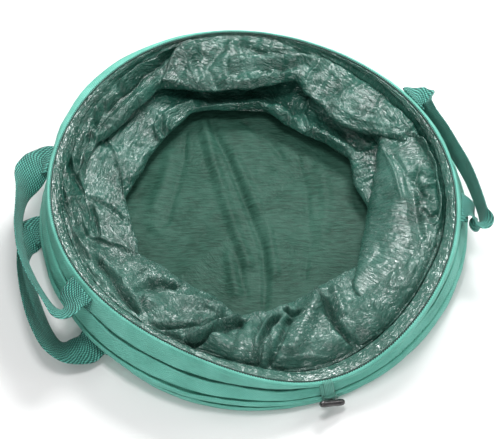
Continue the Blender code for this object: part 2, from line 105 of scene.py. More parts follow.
def around(table):
    """A value given at some azimuths in degrees, smooth in between, as a
    function of the azimuth in radians."""
    keys = sorted(table)
    x = np.array([k for k in keys], float)
    y = np.array([table[k] for k in keys], float)

    def value(a):
        d = np.degrees(a) % 360.0
        i = np.searchsorted(x, d, side="right") - 1
        x0, y0 = x[i % len(x)], y[i % len(x)]
        j = (i + 1) % len(x)
        x1, y1 = x[j], y[j]
        span = (x1 - x0) % 360.0
        span = np.where(span == 0, 360.0, span)
        t = ((d - x0) % 360.0) / span
        t = t * t * (3 - 2 * t)
        return y0 + (y1 - y0) * t

    return value


# --------------------------------------------------------------------- camera
TILT = math.radians(56.617)
FOCAL = 1165.8
AIM = np.array([-0.0053, -0.0373, 0.05])
LOOK = np.array([0.0, math.cos(TILT), -math.sin(TILT)])
RIGHT = np.array([1.0, 0.0, 0.0])
TOP = np.cross(RIGHT, LOOK)
EYE = AIM - LOOK * 1.6


def drawn(p):
    """Where points show in a 500 x 439 view."""
    q = p - EYE
    z = q @ LOOK
    return np.stack([250 + FOCAL * (q @ RIGHT) / z, 219.5 - FOCAL * (q @ TOP) / z], -1)


def placed(x, y, z):
    """The point at height z that shows at (x, y)."""
    d = LOOK + RIGHT * ((x - 250) / FOCAL) - TOP * ((y - 219.5) / FOCAL)
    return EYE + d * ((z - EYE[2]) / d[2])


cam_data = bpy.data.cameras.new("camera")
cam_data.sensor_width = 36.0
cam_data.lens = FOCAL / 500 * 36.0
cam_data.clip_start, cam_data.clip_end = 0.05, 50
cam = bpy.data.objects.new("camera", cam_data)
bpy.context.scene.collection.objects.link(cam)
cam.location = EYE
cam.rotation_euler = (PI / 2 - TILT, 0, 0)
bpy.context.scene.camera = cam


# ---------------------------------------------------------------------- noise
_rng = np.random.RandomState(11)
_perm = _rng.permutation(256)
_grad = _rng.normal(size=(256, 3))
_grad /= np.linalg.norm(_grad, axis=1)[:, None]


def noise(p):
    """Smooth noise from about -0.6 to 0.6."""
    p = np.asarray(p, float)
    i = np.floor(p).astype(np.int64)
    f = p - i
    u = f * f * f * (f * (f * 6 - 15) + 10)
    out = 0.0
    for dx in (0, 1):
        for dy in (0, 1):
            for dz in (0, 1):
                h = _perm[(i[..., 0] + dx) & 255]
                h = _perm[(h + i[..., 1] + dy) & 255]
                h = _perm[(h + i[..., 2] + dz) & 255]
                g = _grad[h]
                d = f - np.array([dx, dy, dz])
                w = (
                    (u[..., 0] if dx else 1 - u[..., 0])
                    * (u[..., 1] if dy else 1 - u[..., 1])
                    * (u[..., 2] if dz else 1 - u[..., 2])
                )
                out = out + w * (g * d).sum(-1)
    return out


def crumple(p, size, seed=0.0):
    """Creased like stiff film: flat facets between sharp ridges and valleys,
    from about -1 to 1."""
    q = np.asarray(p, float) / size + seed
    q = q + 0.45 * np.stack([noise(q * 0.6 + 5.1), noise(q * 0.6 + 9.7), noise(q * 0.6 + 2.3)], -1)
    return 2.6 * (np.abs(noise(q)) - np.abs(noise(q + 31.7)))


def swell(p, size, seed=0.0):
    return 1.8 * noise(np.asarray(p, float) / size + seed)


# ---------------------------------------------------------------- mesh helpers
def link(obj):
    bpy.context.scene.collection.objects.link(obj)
    return obj


def grid_piece(name, P, mat, closed_u=False, closed_v=False, uv=None, flip=False):
    """A sheet from points P[u][v]; uv are metres along and across the cloth."""
    nu, nv = P.shape[:2]
    idx = np.arange(nu * nv).reshape(nu, nv)
    iu = np.arange(nu if closed_u else nu - 1)
    iv = np.arange(nv if closed_v else nv - 1)
    U, V = np.meshgrid(iu, iv, indexing="ij")
    U1, V1 = (U + 1) % nu, (V + 1) % nv
    quads = np.stack([idx[U, V], idx[U1, V], idx[U1, V1], idx[U, V1]], -1).reshape(-1, 4)
    if flip:
        quads = quads[:, ::-1]
    mesh = bpy.data.meshes.new(name)
    mesh.vertices.add(nu * nv)
    mesh.vertices.foreach_set("co", P.reshape(-1).astype(np.float32))
    mesh.loops.add(quads.size)
    mesh.loops.foreach_set("vertex_index", quads.reshape(-1).astype(np.int32))
    mesh.polygons.add(len(quads))
    mesh.polygons.foreach_set("loop_start", (np.arange(len(quads)) * 4).astype(np.int32))
    mesh.update(calc_edges=True)
    mesh.validate()
    if uv is not None:
        layer = mesh.uv_layers.new(name="cloth")
        u0, v0 = uv
        cu = np.stack([U, U + 1, U + 1, U], -1).reshape(-1, 4)
        cv = np.stack([V, V, V + 1, V + 1], -1).reshape(-1, 4)
        if flip:
            cu, cv = cu[:, ::-1], cv[:, ::-1]
        uu = u0[cu]
        vv = v0[cv] if v0.ndim == 1 else v0[np.minimum(cu, nu - 1), np.minimum(cv, nv - 1)]
        layer.data.foreach_set("uv", np.stack([uu, vv], -1).reshape(-1).astype(np.float32))
    mesh.shade_smooth()
    mesh.materials.append(mat)
    return link(bpy.data.objects.new(name, mesh))


def ribbon_solid(name, mids, sides, ups, half_width, thick, mat, nw=12, crown=0.0, u0=0.0):
    """Webbing as a closed flat band: mids are its middle line, sides point
    across it and ups out of its face."""
    mids, sides, ups = (np.asarray(x, float) for x in (mids, sides, ups))
    w = np.linspace(-1, 1, nw + 1)
    top = np.stack(
        [
            mids + sides * (k * half_width) + ups * (thick / 2 * (1 if abs(k) < 0.97 else 0.55) + crown * (1 - k * k))
            for k in w
        ],
        1,
    )
    low = np.stack(
        [
            mids + sides * (k * half_width) - ups * (thick / 2 * (1 if abs(k) < 0.97 else 0.55) - crown * (1 - k * k))
            for k in w[::-1]
        ],
        1,
    )
    P = np.concatenate([top, low], 1)
    P[..., 2] = np.maximum(P[..., 2], 0.0004)
    n, m = P.shape[:2]
    step = np.linalg.norm(np.diff(mids, axis=0), axis=1)
    along = np.concatenate([[0], np.cumsum(step)]) + u0
    across = np.concatenate([w * half_width, w[::-1] * half_width, [-half_width]])
    obj = grid_piece(name, P, mat, closed_v=True, uv=(along, across))
    bm = bmesh.new()
    bm.from_mesh(obj.data)
    bm.verts.ensure_lookup_table()
    for row in (0, n - 1):
        ring = [bm.verts[row * m + k] for k in range(m)]
        half = m // 2
        for k in range(half - 1):
            quad = [ring[k], ring[k + 1], ring[m - 2 - k], ring[m - 1 - k]]
            bm.faces.new(quad if row == 0 else quad[::-1])
    bmesh.ops.recalc_face_normals(bm, faces=bm.faces)
    for f in bm.faces:
        f.smooth = True
    bm.to_mesh(obj.data)
    bm.free()
    return obj


def smooth_path(knots, per_span):
    knots = [np.asarray(k, float) for k in knots]
    pts = [knots[0] * 2 - knots[1]] + knots + [knots[-1] * 2 - knots[-2]]
    out = []
    for i in range(1, len(pts) - 2):
        p0, p1, p2, p3 = pts[i - 1 : i + 3]
        for k in range(per_span):
            t = k / per_span
            out.append(
                0.5 * (2 * p1 + (p2 - p0) * t + (2 * p0 - 5 * p1 + 4 * p2 - p3) * t * t
                       + (3 * p1 - p0 - 3 * p2 + p3) * t * t * t)
            )
    out.append(knots[-1])
    return np.array(out)


def unit(v):
    return v / np.maximum(np.linalg.norm(v, axis=-1, keepdims=True), 1e-12)


def tube(name, pts, radius, mat, closed=False, sides=8):
    """A round thread or cord along points."""
    pts = np.asarray(pts, float)
    t = np.gradient(pts, axis=0)
    if closed:
        t = np.roll(pts, -1, 0) - np.roll(pts, 1, 0)
    t = unit(t)
    ref = np.array([0, 0, 1.0])
    n = unit(np.cross(t, ref) + 1e-6)
    b = np.cross(t, n)
    ang = np.linspace(0, 2 * PI, sides, endpoint=False)
    P = pts[:, None] + radius * (np.cos(ang)[None, :, None] * n[:, None] + np.sin(ang)[None, :, None] * b[:, None])
    return grid_piece(name, P, mat, closed_u=closed, closed_v=True)


def stitches(name, pts, outs, mat, pitch=0.0032, length=0.0022, radius=0.00035, rise=0.00025):
    """A row of thread stitches along points; outs point out of the cloth."""
    pts = np.asarray(pts, float)
    outs = np.asarray(outs, float)
    step = np.linalg.norm(np.diff(pts, axis=0), axis=1)
    s = np.concatenate([[0], np.cumsum(step)])
    n = max(1, int(s[-1] / pitch))
    rings, faces, verts = 7, [], []
    for k in range(n):
        c = (k + 0.5) * s[-1] / n
        ss = np.linspace(c - length / 2, c + length / 2, rings)
        P = np.stack([np.interp(ss, s, pts[:, j]) for j in range(3)], 1)
        O = unit(np.stack([np.interp(ss, s, outs[:, j]) for j in range(3)], 1))
        T = unit(np.gradient(P, axis=0))
        B = np.cross(T, O)
        f = np.linspace(-1, 1, rings)
        lift = rise * (1 - f * f) - 0.0002 * f * f
        rad = radius * np.sqrt(np.maximum(0.12, 1 - f ** 4))
        base = len(verts)
        for i in range(rings):
            for j in range(6):
                t = 2 * PI * j / 6
                verts.append(P[i] + O[i] * (lift[i] + rad[i] * math.sin(t)) + B[i] * rad[i] * math.cos(t))
        for i in range(rings - 1):
            for j in range(6):
                a, b = base + i * 6 + j, base + i * 6 + (j + 1) % 6
                faces.append((a, b, b + 6, a + 6))
        faces.append(tuple(base + j for j in range(5, -1, -1)))
        faces.append(tuple(base + (rings - 1) * 6 + j for j in range(6)))
    mesh = bpy.data.meshes.new(name)
    mesh.from_pydata([tuple(v) for v in verts], [], faces)
    mesh.shade_smooth()
    mesh.materials.append(mat)
    return link(bpy.data.objects.new(name, mesh))


def area_of(obj):
    mesh = obj.data
    mesh.calc_loop_triangles()
    co = np.zeros(len(mesh.vertices) * 3, np.float32)
    mesh.vertices.foreach_get("co", co)
    co = co.reshape(-1, 3)
    tri = np.zeros(len(mesh.loop_triangles) * 3, np.int32)
    mesh.loop_triangles.foreach_get("vertices", tri)
    tri = tri.reshape(-1, 3)
    n = np.cross(co[tri[:, 1]] - co[tri[:, 0]], co[tri[:, 2]] - co[tri[:, 0]])
    return float(np.linalg.norm(n, axis=1).sum() / 2)


# ------------------------------------------------------------------ materials
class Tree:
    """A material's nodes, made and joined by short calls."""

    def __init__(self, name):
        self.mat = bpy.data.materials.new(name)
        self.mat.use_nodes = True
        self.nt = self.mat.node_tree
        self.bsdf = next(n for n in self.nt.nodes if n.type == "BSDF_PRINCIPLED")

    def add(self, kind, **put):
        node = self.nt.nodes.new("ShaderNode" + kind)
        for key, value in put.items():
            if key.startswith("_"):
                setattr(node, key[1:], value)
                continue
            name = key.replace("__", " ")
            socket = node.inputs[int(key[1:])] if key[0] == "i" and key[1:].isdigit() else node.inputs[name]
            if hasattr(value, "is_linked") or isinstance(value, bpy.types.NodeSocket):
                self.nt.links.new(value, socket)
            else:
                socket.default_value = value
        return node

    def math(self, op, a, b=0.0, clamp=False):
        n = self.nt.nodes.new("ShaderNodeMath")
        n.operation = op
        n.use_clamp = clamp
        for s, v in zip(n.inputs, (a, b)):
            if isinstance(v, bpy.types.NodeSocket):
                self.nt.links.new(v, s)
            else:
                s.default_value = v
        return n.outputs[0]

    def scaled(self, vector, scale, rotate=0.0, shift=(0, 0, 0)):
        n = self.add("Mapping", Vector=vector)
        n.inputs["Scale"].default_value = scale
        n.inputs["Rotation"].default_value = (0, 0, rotate)
        n.inputs["Location"].default_value = shift
        return n.outputs[0]

    def noise(self, vector, scale, detail=3.0, rough=0.55, distort=0.0):
        n = self.add("TexNoise", Vector=vector, Scale=scale, Detail=detail, Roughness=rough, Distortion=distort)
        return n.outputs["Fac"]

    def ramp(self, fac, stops, kind="LINEAR"):
        n = self.add("ValToRGB", Fac=fac)
        n.color_ramp.interpolation = kind
        while len(n.color_ramp.elements) < len(stops):
            n.color_ramp.elements.new(0.5)
        for e, (pos, col) in zip(n.color_ramp.elements, stops):
            e.position = pos
            e.color = (*col, 1.0) if len(col) == 3 else col
        return n.outputs["Color"]

    def grey(self, fac, stops):
        return self.ramp(fac, [(p, (v, v, v)) for p, v in stops])

    def mix(self, fac, a, b, blend="MIX"):
        n = self.nt.nodes.new("ShaderNodeMix")
        n.data_type = "RGBA"
        n.blend_type = blend
        for s, v in ((n.inputs[0], fac), (n.inputs[6], a), (n.inputs[7], b)):
            if isinstance(v, bpy.types.NodeSocket):
                self.nt.links.new(v, s)
            elif isinstance(v, (tuple, list)):
                s.default_value = (*v, 1.0)
            else:
                s.default_value = v
        return n.outputs[2]

    def bump(self, height, strength, distance, normal=None):
        n = self.add("Bump", Height=height, Strength=strength, Distance=distance)
        if normal is not None:
            self.nt.links.new(normal, n.inputs["Normal"])
        return n.outputs[0]

    def end(self, **put):
        for key, value in put.items():
            socket = self.bsdf.inputs[key.replace("__", " ")]
            if isinstance(value, bpy.types.NodeSocket):
                self.nt.links.new(value, socket)
            elif isinstance(value, (tuple, list)):
                socket.default_value = (*value, 1.0)
            else:
                socket.default_value = value
        return self.mat


def weave_height(t, uv, pitch, diagonal=False):
    """Plain weave of flat tapes: a chequer of warp and weft crowns."""
    rot = PI / 4 if diagonal else 0.0
    v = t.scaled(uv, (1 / pitch, 1 / pitch, 1), rot)
    sep = t.add("SeparateXYZ", Vector=v)
    sx = t.math("SINE", t.math("MULTIPLY", sep.outputs[0], PI))
    sy = t.math("SINE", t.math("MULTIPLY", sep.outputs[1], PI))
    over = t.math("MULTIPLY", sx, sy)
    return over, t.math("ABSOLUTE", over)


def sharp(t, fac):
    """Smooth noise turned into flat patches between thin sharp lines."""
    return t.math("ABSOLUTE", t.math("SUBTRACT", fac, 0.5))


def laminate(name, dark, mid, light, rough=(0.20, 0.36), streak=0.0, gain=1.0, glints=0.6, around=62.0, along=215.0, coat=0.9, ior=1.5):
    """Woven polyethylene tapes under a glossy film: flat facets between sharp
    creases, and short glints that run along the tapes, from the bumps and also as painted near-white glints in the
    colour; the front is lightened as a painted sheen."""
    t = Tree(name)
    tc = t.add("TexCoord")
    uv, ob = tc.outputs["UV"], tc.outputs["Object"]
    wide = t.noise(ob, 17.0, 3.0)
    colour = t.ramp(wide, [(0.36, dark), (0.5, mid), (0.66, light)])
    over, crown = weave_height(t, uv, 0.0022)
    colour = t.mix(t.grey(crown, [(0.0, 0.45), (0.30, 0.0)]), colour, tuple(0.45 * c for c in dark))
    tapes = t.noise(t.scaled(uv, (around, along, 1.0)), 1.0, 2.0, 0.6)
    tapes2 = t.noise(t.scaled(uv, (around * 1.9, along * 1.8, 1.0), 0.12), 1.0, 2.0, 0.6)
    colour = t.mix(t.grey(tapes, [(0.46, 0.0), (0.66, 0.6)]), colour, light)
    # painted glints: near-white specks along the tapes, laid into the colour in patches, standing in for the sparkle
    # of light on the film
    glint_patch_noise = t.noise(ob, 26.0, 3.0, 0.6)
    glint_patches = t.grey(glint_patch_noise, [(0.46, 0.05), (0.62, 1.0)])
    glint_speck = t.noise(ob, 330.0, 2.0, 0.7)
    painted_glint = t.math("MULTIPLY", t.grey(tapes2, [(0.54, 0.0), (0.62, 1.0)]), t.grey(glint_speck, [(0.49, 0.0), (0.57, 1.0)]))
    painted_glint = t.math("MULTIPLY", painted_glint, glint_patches)
    # painted highlight: towards the front the colour is lightened to a pale green and more painted glints are laid on,
    # standing in for light on the front folds
    sep = t.add("SeparateXYZ", Vector=ob)
    front_sheen = t.math("MULTIPLY", t.math("ADD", sep.outputs[1], 0.02), -10.0, True)
    colour = t.mix(t.math("MULTIPLY", front_sheen, 0.75 * glints), colour, (0.072, 0.180, 0.145))
    share = t.math("ADD", t.math("MULTIPLY", front_sheen, 0.78), 0.20)
    painted_glint = t.math("MULTIPLY", painted_glint, share)
    # the painted glints are mixed into the colour as near-white
    colour = t.mix(t.math("MULTIPLY", painted_glint, glints * 1.25, True), colour, (0.66, 0.74, 0.72))
    if streak:
        lines = t.noise(t.scaled(ob, (60.0, 560.0, 60.0)), 1.0, 3.0)
        colour = t.mix(t.grey(lines, [(0.44, 0.0), (0.62, streak)]), colour, light)
        under = t.noise(t.scaled(ob, (50.0, 420.0, 50.0), 0.0, (3, 1, 0)), 1.0, 3.0)
        colour = t.mix(t.grey(under, [(0.48, 0.0), (0.64, streak * 0.8)]), colour, tuple(0.6 * c for c in dark))
    fine = t.noise(ob, 420.0, 2.0, 0.6)
    r = t.math("ADD", t.math("MULTIPLY", fine, rough[1] - rough[0]), rough[0], True)
    big = sharp(t, t.noise(ob, 46.0, 2.0, 0.5))
    small = sharp(t, t.noise(ob, 125.0, 2.0, 0.5))
    n1 = t.bump(big, 0.36 * gain, 0.0058)
    n2 = t.bump(small, 0.22 * gain, 0.0026, n1)
    n3 = t.bump(tapes, 1.0 * gain, 0.0028, n2)
    n4 = t.bump(tapes2, 0.9 * gain, 0.0013, n3)
    n5 = t.bump(over, 0.25 * gain, 0.0003, n4)
    return t.end(
        Base__Color=colour, Roughness=r, Normal=n5, IOR=ior,
        Specular__IOR__Level=0.30, Coat__Weight=coat, Coat__Roughness=0.09, Coat__Normal=n4,
    )


def tape_cloth(name, dark, mid, light, pitch=0.0023):
    """Matt woven hem tape."""
    t = Tree(name)
    tc = t.add("TexCoord")
    uv, ob = tc.outputs["UV"], tc.outputs["Object"]
    wide = t.noise(ob, 22.0, 4.0)
    colour = t.ramp(wide, [(0.32, dark), (0.5, mid), (0.68, light)])
    over, crown = weave_height(t, uv, pitch, True)
    thread = t.noise(t.scaled(uv, (220.0, 1500.0, 1.0)), 1.0, 2.0)
    thread2 = t.noise(t.scaled(uv, (1500.0, 220.0, 1.0)), 1.0, 2.0)
    fibre = t.math("ADD", t.math("MULTIPLY", thread, 0.5), t.math("MULTIPLY", thread2, 0.5))
    colour = t.mix(t.grey(fibre, [(0.38, 0.0), (0.66, 0.55)]), colour, light)
    colour = t.mix(t.grey(crown, [(0.0, 0.60), (0.45, 0.0)]), colour, dark)
    soft = t.noise(ob, 90.0, 3.0)
    r = t.grey(soft, [(0.3, 0.66), (0.7, 0.84)])
    n1 = t.bump(soft, 0.35, 0.0025)
    n2 = t.bump(crown, 0.8, 0.0007, n1)
    return t.end(
        Base__Color=colour, Roughness=r, Normal=n2,
        Sheen__Weight=0.12, Sheen__Roughness=0.45, Specular__IOR__Level=0.35,
    )


def webbing_cloth(name, dark, mid, light, pitch=0.0038):
    """Coarse webbing: rows of short raised floats that step diagonally."""
    t = Tree(name)
    tc = t.add("TexCoord")
    uv, ob = tc.outputs["UV"], tc.outputs["Object"]
    sep = t.add("SeparateXYZ", Vector=uv)
    wob = t.math("MULTIPLY", t.math("SUBTRACT", t.noise(ob, 130.0, 2.0), 0.5), 0.0016)
    u = t.math("MULTIPLY", t.math("ADD", sep.outputs[0], wob), 2 * PI / pitch)
    v = t.math("MULTIPLY", t.math("ADD", sep.outputs[1], wob), 2 * PI / pitch)
    a = t.math("SINE", t.math("ADD", u, t.math("MULTIPLY", v, 0.62)))
    b = t.math("SINE", t.math("SUBTRACT", t.math("MULTIPLY", u, 0.38), t.math("MULTIPLY", v, 1.25)))
    knot = t.math("ADD", t.math("MULTIPLY", a, 0.30), t.math("MULTIPLY", b, 0.24))
    h = t.math("ADD", knot, 0.5, True)
    colour = t.ramp(h, [(0.16, dark), (0.48, mid), (0.84, light)])
    wide = t.noise(ob, 42.0, 3.0)
    colour = t.mix(t.grey(wide, [(0.36, 0.35), (0.62, 0.0)]), colour, dark)
    fuzz = t.noise(ob, 900.0, 2.0)
    colour = t.mix(t.grey(fuzz, [(0.50, 0.0), (0.78, 0.35)]), colour, light)
    r = t.grey(fuzz, [(0.3, 0.55), (0.7, 0.80)])
    n1 = t.bump(h, 1.0, 0.0011)
    n2 = t.bump(fuzz, 0.3, 0.0003, n1)
    return t.end(
        Base__Color=colour, Roughness=r, Normal=n2,
        Sheen__Weight=0.15, Sheen__Roughness=0.4, Specular__IOR__Level=0.4,
    )


def ribbed_cloth(name, dark, mid, light):
    """Narrow webbing with lengthways ribs."""
    t = Tree(name)
    tc = t.add("TexCoord")
    uv, ob = tc.outputs["UV"], tc.outputs["Object"]
    sep = t.add("SeparateXYZ", Vector=uv)
    rib = t.math("ABSOLUTE", t.math("SINE", t.math("MULTIPLY", sep.outputs[1], PI / 0.0021)))
    cross = t.math("ABSOLUTE", t.math("SINE", t.math("MULTIPLY", sep.outputs[0], PI / 0.0011)))
    h = t.math("ADD", t.math("MULTIPLY", rib, 0.7), t.math("MULTIPLY", cross, 0.3))
    colour = t.ramp(h, [(0.1, dark), (0.55, mid), (0.95, light)])
    fuzz = t.noise(ob, 800.0, 2.0)
    r = t.grey(fuzz, [(0.3, 0.65), (0.7, 0.85)])
    n1 = t.bump(h, 0.8, 0.0005)
    return t.end(Base__Color=colour, Roughness=r, Normal=n1, Sheen__Weight=0.3, Sheen__Roughness=0.4)


def thread_cloth(name, dark, light):
    t = Tree(name)
    tc = t.add("TexCoord")
    n = t.noise(tc.outputs["Object"], 1400.0, 2.0)
    colour = t.ramp(n, [(0.35, dark), (0.65, light)])
    r = t.grey(n, [(0.3, 0.55), (0.7, 0.8)])
    return t.end(Base__Color=colour, Roughness=r, Normal=t.bump(n, 0.5, 0.0003))


def moulded(name, dark, light, rough=(0.16, 0.34)):
    """Glossy moulded plastic with faint flow marks and rubbed edges."""
    t = Tree(name)
    tc = t.add("TexCoord")
    ob = tc.outputs["Object"]
    n = t.noise(ob, 160.0, 4.0)
    colour = t.ramp(n, [(0.35, dark), (0.7, light)])
    edge = t.add("NewGeometry").outputs["Pointiness"]
    colour = t.mix(t.grey(edge, [(0.52, 0.0), (0.60, 0.5)]), colour, light)
    r = t.math("ADD", t.math("MULTIPLY", n, rough[1] - rough[0]), rough[0], True)
    fine = t.noise(ob, 1200.0, 2.0)
    return t.end(Base__Color=colour, Roughness=r, Normal=t.bump(fine, 0.12, 0.0003), Coat__Weight=0.3, Coat__Roughness=0.12)


def drawn_steel(name):
    t = Tree(name)
    tc = t.add("TexCoord")
    ob = tc.outputs["Object"]
    n = t.noise(ob, 300.0, 3.0)
    colour = t.ramp(n, [(0.35, (0.30, 0.30, 0.31)), (0.65, (0.52, 0.52, 0.53))])
    r = t.grey(n, [(0.3, 0.24), (0.7, 0.42)])
    return t.end(Base__Color=colour, Roughness=r, Metallic=1.0, Normal=t.bump(n, 0.15, 0.0003))


LINING = laminate("lining_laminate", (0.008, 0.056, 0.039), (0.017, 0.092, 0.066), (0.038, 0.148, 0.112))
LINING_CROSS = laminate("lining_laminate_cross", (0.008, 0.056, 0.039), (0.017, 0.092, 0.066), (0.038, 0.148, 0.112), around=190.0, along=42.0)
LINING_DEEP = laminate("lining_laminate_deep", (0.016, 0.070, 0.048), (0.028, 0.100, 0.074), (0.046, 0.140, 0.108))
BASE = laminate(
    "base_laminate_cloth", (0.010, 0.053, 0.034), (0.018, 0.078, 0.053), (0.034, 0.112, 0.080),
    rough=(0.46, 0.66), streak=0.6, gain=0.5, glints=0.0, coat=0.0, ior=1.42,
)
TAPE = tape_cloth("hem_tape", (0.105, 0.400, 0.315), (0.150, 0.540, 0.430), (0.220, 0.660, 0.545))
WEBBING = webbing_cloth("handle_webbing", (0.004, 0.050, 0.040), (0.020, 0.190, 0.150), (0.170, 0.560, 0.470))
NARROW = ribbed_cloth("toggle_webbing", (0.040, 0.165, 0.125), (0.085, 0.290, 0.230), (0.140, 0.400, 0.330))
THREAD = thread_cloth("dark_thread", (0.006, 0.020, 0.016), (0.020, 0.060, 0.048))
GREEN_THREAD = thread_cloth("green_thread", (0.030, 0.190, 0.145), (0.080, 0.330, 0.270))
PLASTIC = moulded("toggle_moulding", (0.012, 0.012, 0.013), (0.060, 0.055, 0.056))
ELASTIC = thread_cloth("elastic_cord", (0.008, 0.008, 0.009), (0.030, 0.030, 0.032))
STEEL = drawn_steel("spring_steel_wire")


# ------------------------------------------------------------------- the folds
def near_line(px, line):
    """For drawn points: distance to a drawn line in pixels, the side (positive
    to the right when walking along it, as drawn) and the share along it."""
    line = np.asarray(line, float)
    best = np.full(len(px), 1e9)
    side = np.zeros(len(px))
    share = np.zeros(len(px))
    lens = np.linalg.norm(np.diff(line, axis=0), axis=1)
    total = lens.sum()
    done = 0.0
    for p, q, n in zip(line, line[1:], lens):
        d = q - p
        t = np.clip(((px - p) @ d) / (n * n), 0, 1)
        near = p + t[:, None] * d
        gap = px - near
        dist = np.linalg.norm(gap, axis=1)
        s = d[0] * (px[:, 1] - p[1]) - d[1] * (px[:, 0] - p[0])
        take = dist < best
        best = np.where(take, dist, best)
        side = np.where(take, np.sign(s), side)
        share = np.where(take, (done + t * n) / total, share)
        done += n
    return best, side, share, total


def apply_folds(P, features, weight):
    """Adds ridges, valleys and stepped folds, each drawn as a line in the view.
    A fold is (kind, height in mm, width to its left, width to its right, line)."""
    shape = P.shape
    flat = P.reshape(-1, 3)
    px = drawn(flat)
    rise = np.zeros(len(flat))
    for kind, high, left, right, line in features:
        dist, side, share, total = near_line(px, line)
        w = np.where(side < 0, left, right)
        k = np.clip(1 - dist / np.maximum(w, 1e-6), 0, 1)
        fade = np.clip(np.minimum(share, 1 - share) * total / 5.0 + 0.25, 0, 1)
        over_end = (share <= 0.0) | (share >= 1.0)
        if kind == "crease":
            rise += high * k ** 1.6 * fade
        elif kind == "round":
            rise += high * (k * k * (3 - 2 * k)) * fade
        elif kind == "step":
            soft = np.clip(dist / 1.3, 0, 1)
            soft = np.where(side > 0, 0.5 + 0.5 * soft, 0.5 - 0.5 * soft)
            part = np.where(side > 0, k, np.clip(1 - dist / 1.4, 0, 1))
            rise += high * np.where(side > 0, k ** 1.2 * soft, part * soft) * np.where(over_end, 0.3, 1) * fade
    flat = flat.copy()
    flat[:, 2] += 0.0021 * rise * weight.reshape(-1)
    return flat.reshape(shape)


def stray_creases(P, count, seed, radii, weight, lengths=(0.020, 0.060), widths=(0.006, 0.016), heights=(0.8, 2.6), bias=0.6):
    """Straight sharp creases strewn over a fold, most of them pointing inwards."""
    rng = np.random.RandomState(seed)
    shape = P.shape
    flat = P.reshape(-1, 3).copy()
    x, y = flat[:, 0], flat[:, 1]
    rise = np.zeros(len(flat))
    for _ in range(count):
        a = rng.uniform(0, 2 * PI)
        r = rng.uniform(*radii)
        turn_ = a + rng.normal() * bias
        long = rng.uniform(*lengths)
        left, right = rng.uniform(*widths), rng.uniform(*widths)
        high = rng.uniform(*heights) * rng.choice([-1, 1], p=[0.45, 0.55])
        cx, cy = r * math.cos(a), r * math.sin(a)
        dx, dy = x - cx, y - cy
        t = dx * math.cos(turn_) + dy * math.sin(turn_)
        n = -dx * math.sin(turn_) + dy * math.cos(turn_)
        bend = rng.normal() * 1.5
        n = n + bend * t * t
        w = np.where(n < 0, left, right)
        k = np.clip(1 - np.abs(n) / w, 0, 1)
        e = np.clip(1 - np.abs(t) / (long / 2), 0, 1) ** 0.7
        rise += high * k * e
    flat[:, 2] += 0.001 * rise * weight.reshape(-1)
    return flat.reshape(shape)


SECTORS = 16
COLS = 44
NA = SECTORS * COLS
AZ = np.arange(NA) * 2 * PI / NA


def nose_line(points, soften=0):
    """Radius and height of a leaf's nose at each azimuth, from where it shows."""
    rows = []
    for x, y, z in points:
        p = placed(x, y, z)
        rows.append((math.atan2(p[1], p[0]) % (2 * PI), math.hypot(p[0], p[1]), p[2]))
    rows.sort()
    a, r, z = (np.array(c) for c in zip(*rows))
    a = np.concatenate([a - 2 * PI, a, a + 2 * PI])
    rn = np.interp(AZ, a, np.tile(r, 3))
    zn = np.interp(AZ, a, np.tile(z, 3))
    for _ in range(soften):
        rn = (np.roll(rn, 1) + 2 * rn + np.roll(rn, -1)) / 4
        zn = (np.roll(zn, 1) + 2 * zn + np.roll(zn, -1)) / 4
    return rn, zn


def leaf_points(controls, counts):
    """Rows of a leaf's cross-section through its control points, all azimuths."""
    C = [np.stack(np.broadcast_arrays(r, z, 0 * AZ), -1) for r, z in controls]
    pts = [2 * C[0] - C[1]] + C + [2 * C[-1] - C[-2]]
    rows, where = [], []
    for i in range(1, len(pts) - 2):
        p0, p1, p2, p3 = pts[i - 1 : i + 3]
        for k in range(counts[i - 1]):
            t = k / counts[i - 1]
            rows.append(
                0.5 * (2 * p1 + (p2 - p0) * t + (2 * p0 - 5 * p1 + 4 * p2 - p3) * t * t
                       + (3 * p1 - p0 - 3 * p2 + p3) * t * t * t)
            )
            where.append(i - 1 + t)
    rows.append(C[-1])
    where.append(len(C) - 1)
    S = np.stack(rows, 1)
    r, z = S[..., 0], S[..., 1]
    P = np.stack([r * np.cos(AZ)[:, None], r * np.sin(AZ)[:, None], z], -1)
    return P, np.array(where)


def wrap_smooth(P, times):
    for _ in range(times):
        P = (np.roll(P, 1, 0) + 2 * P + np.roll(P, -1, 0)) / 4
    return P


def cut_leaf(name, P, mat, body, wall_r, skip=()):
    """Splits a leaf into sectors, each carried by the given body; the line along
    which each would fold flat against the wall is worked out but not used."""
    made = []
    step = np.linalg.norm(np.diff(P, axis=1), axis=2)
    along = np.concatenate([np.zeros((NA, 1)), np.cumsum(step, 1)], 1)
    for s in range(SECTORS):
        if s in skip:
            continue
        cols = (np.arange(COLS + 1) + s * COLS) % NA
        part = P[cols]
        u = (np.arange(COLS + 1) + s * COLS) * (2 * PI / NA) * 0.28
        obj = grid_piece(f"{name}_{s:02d}", part, mat, uv=(u, along[cols]), flip=True)
        mid = (s + 0.5) * 2 * PI / SECTORS
        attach(obj, body)
        axis, anchor = flattening(part, mid, wall_r, body)
        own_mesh(obj)
        made.append(obj)
    return made


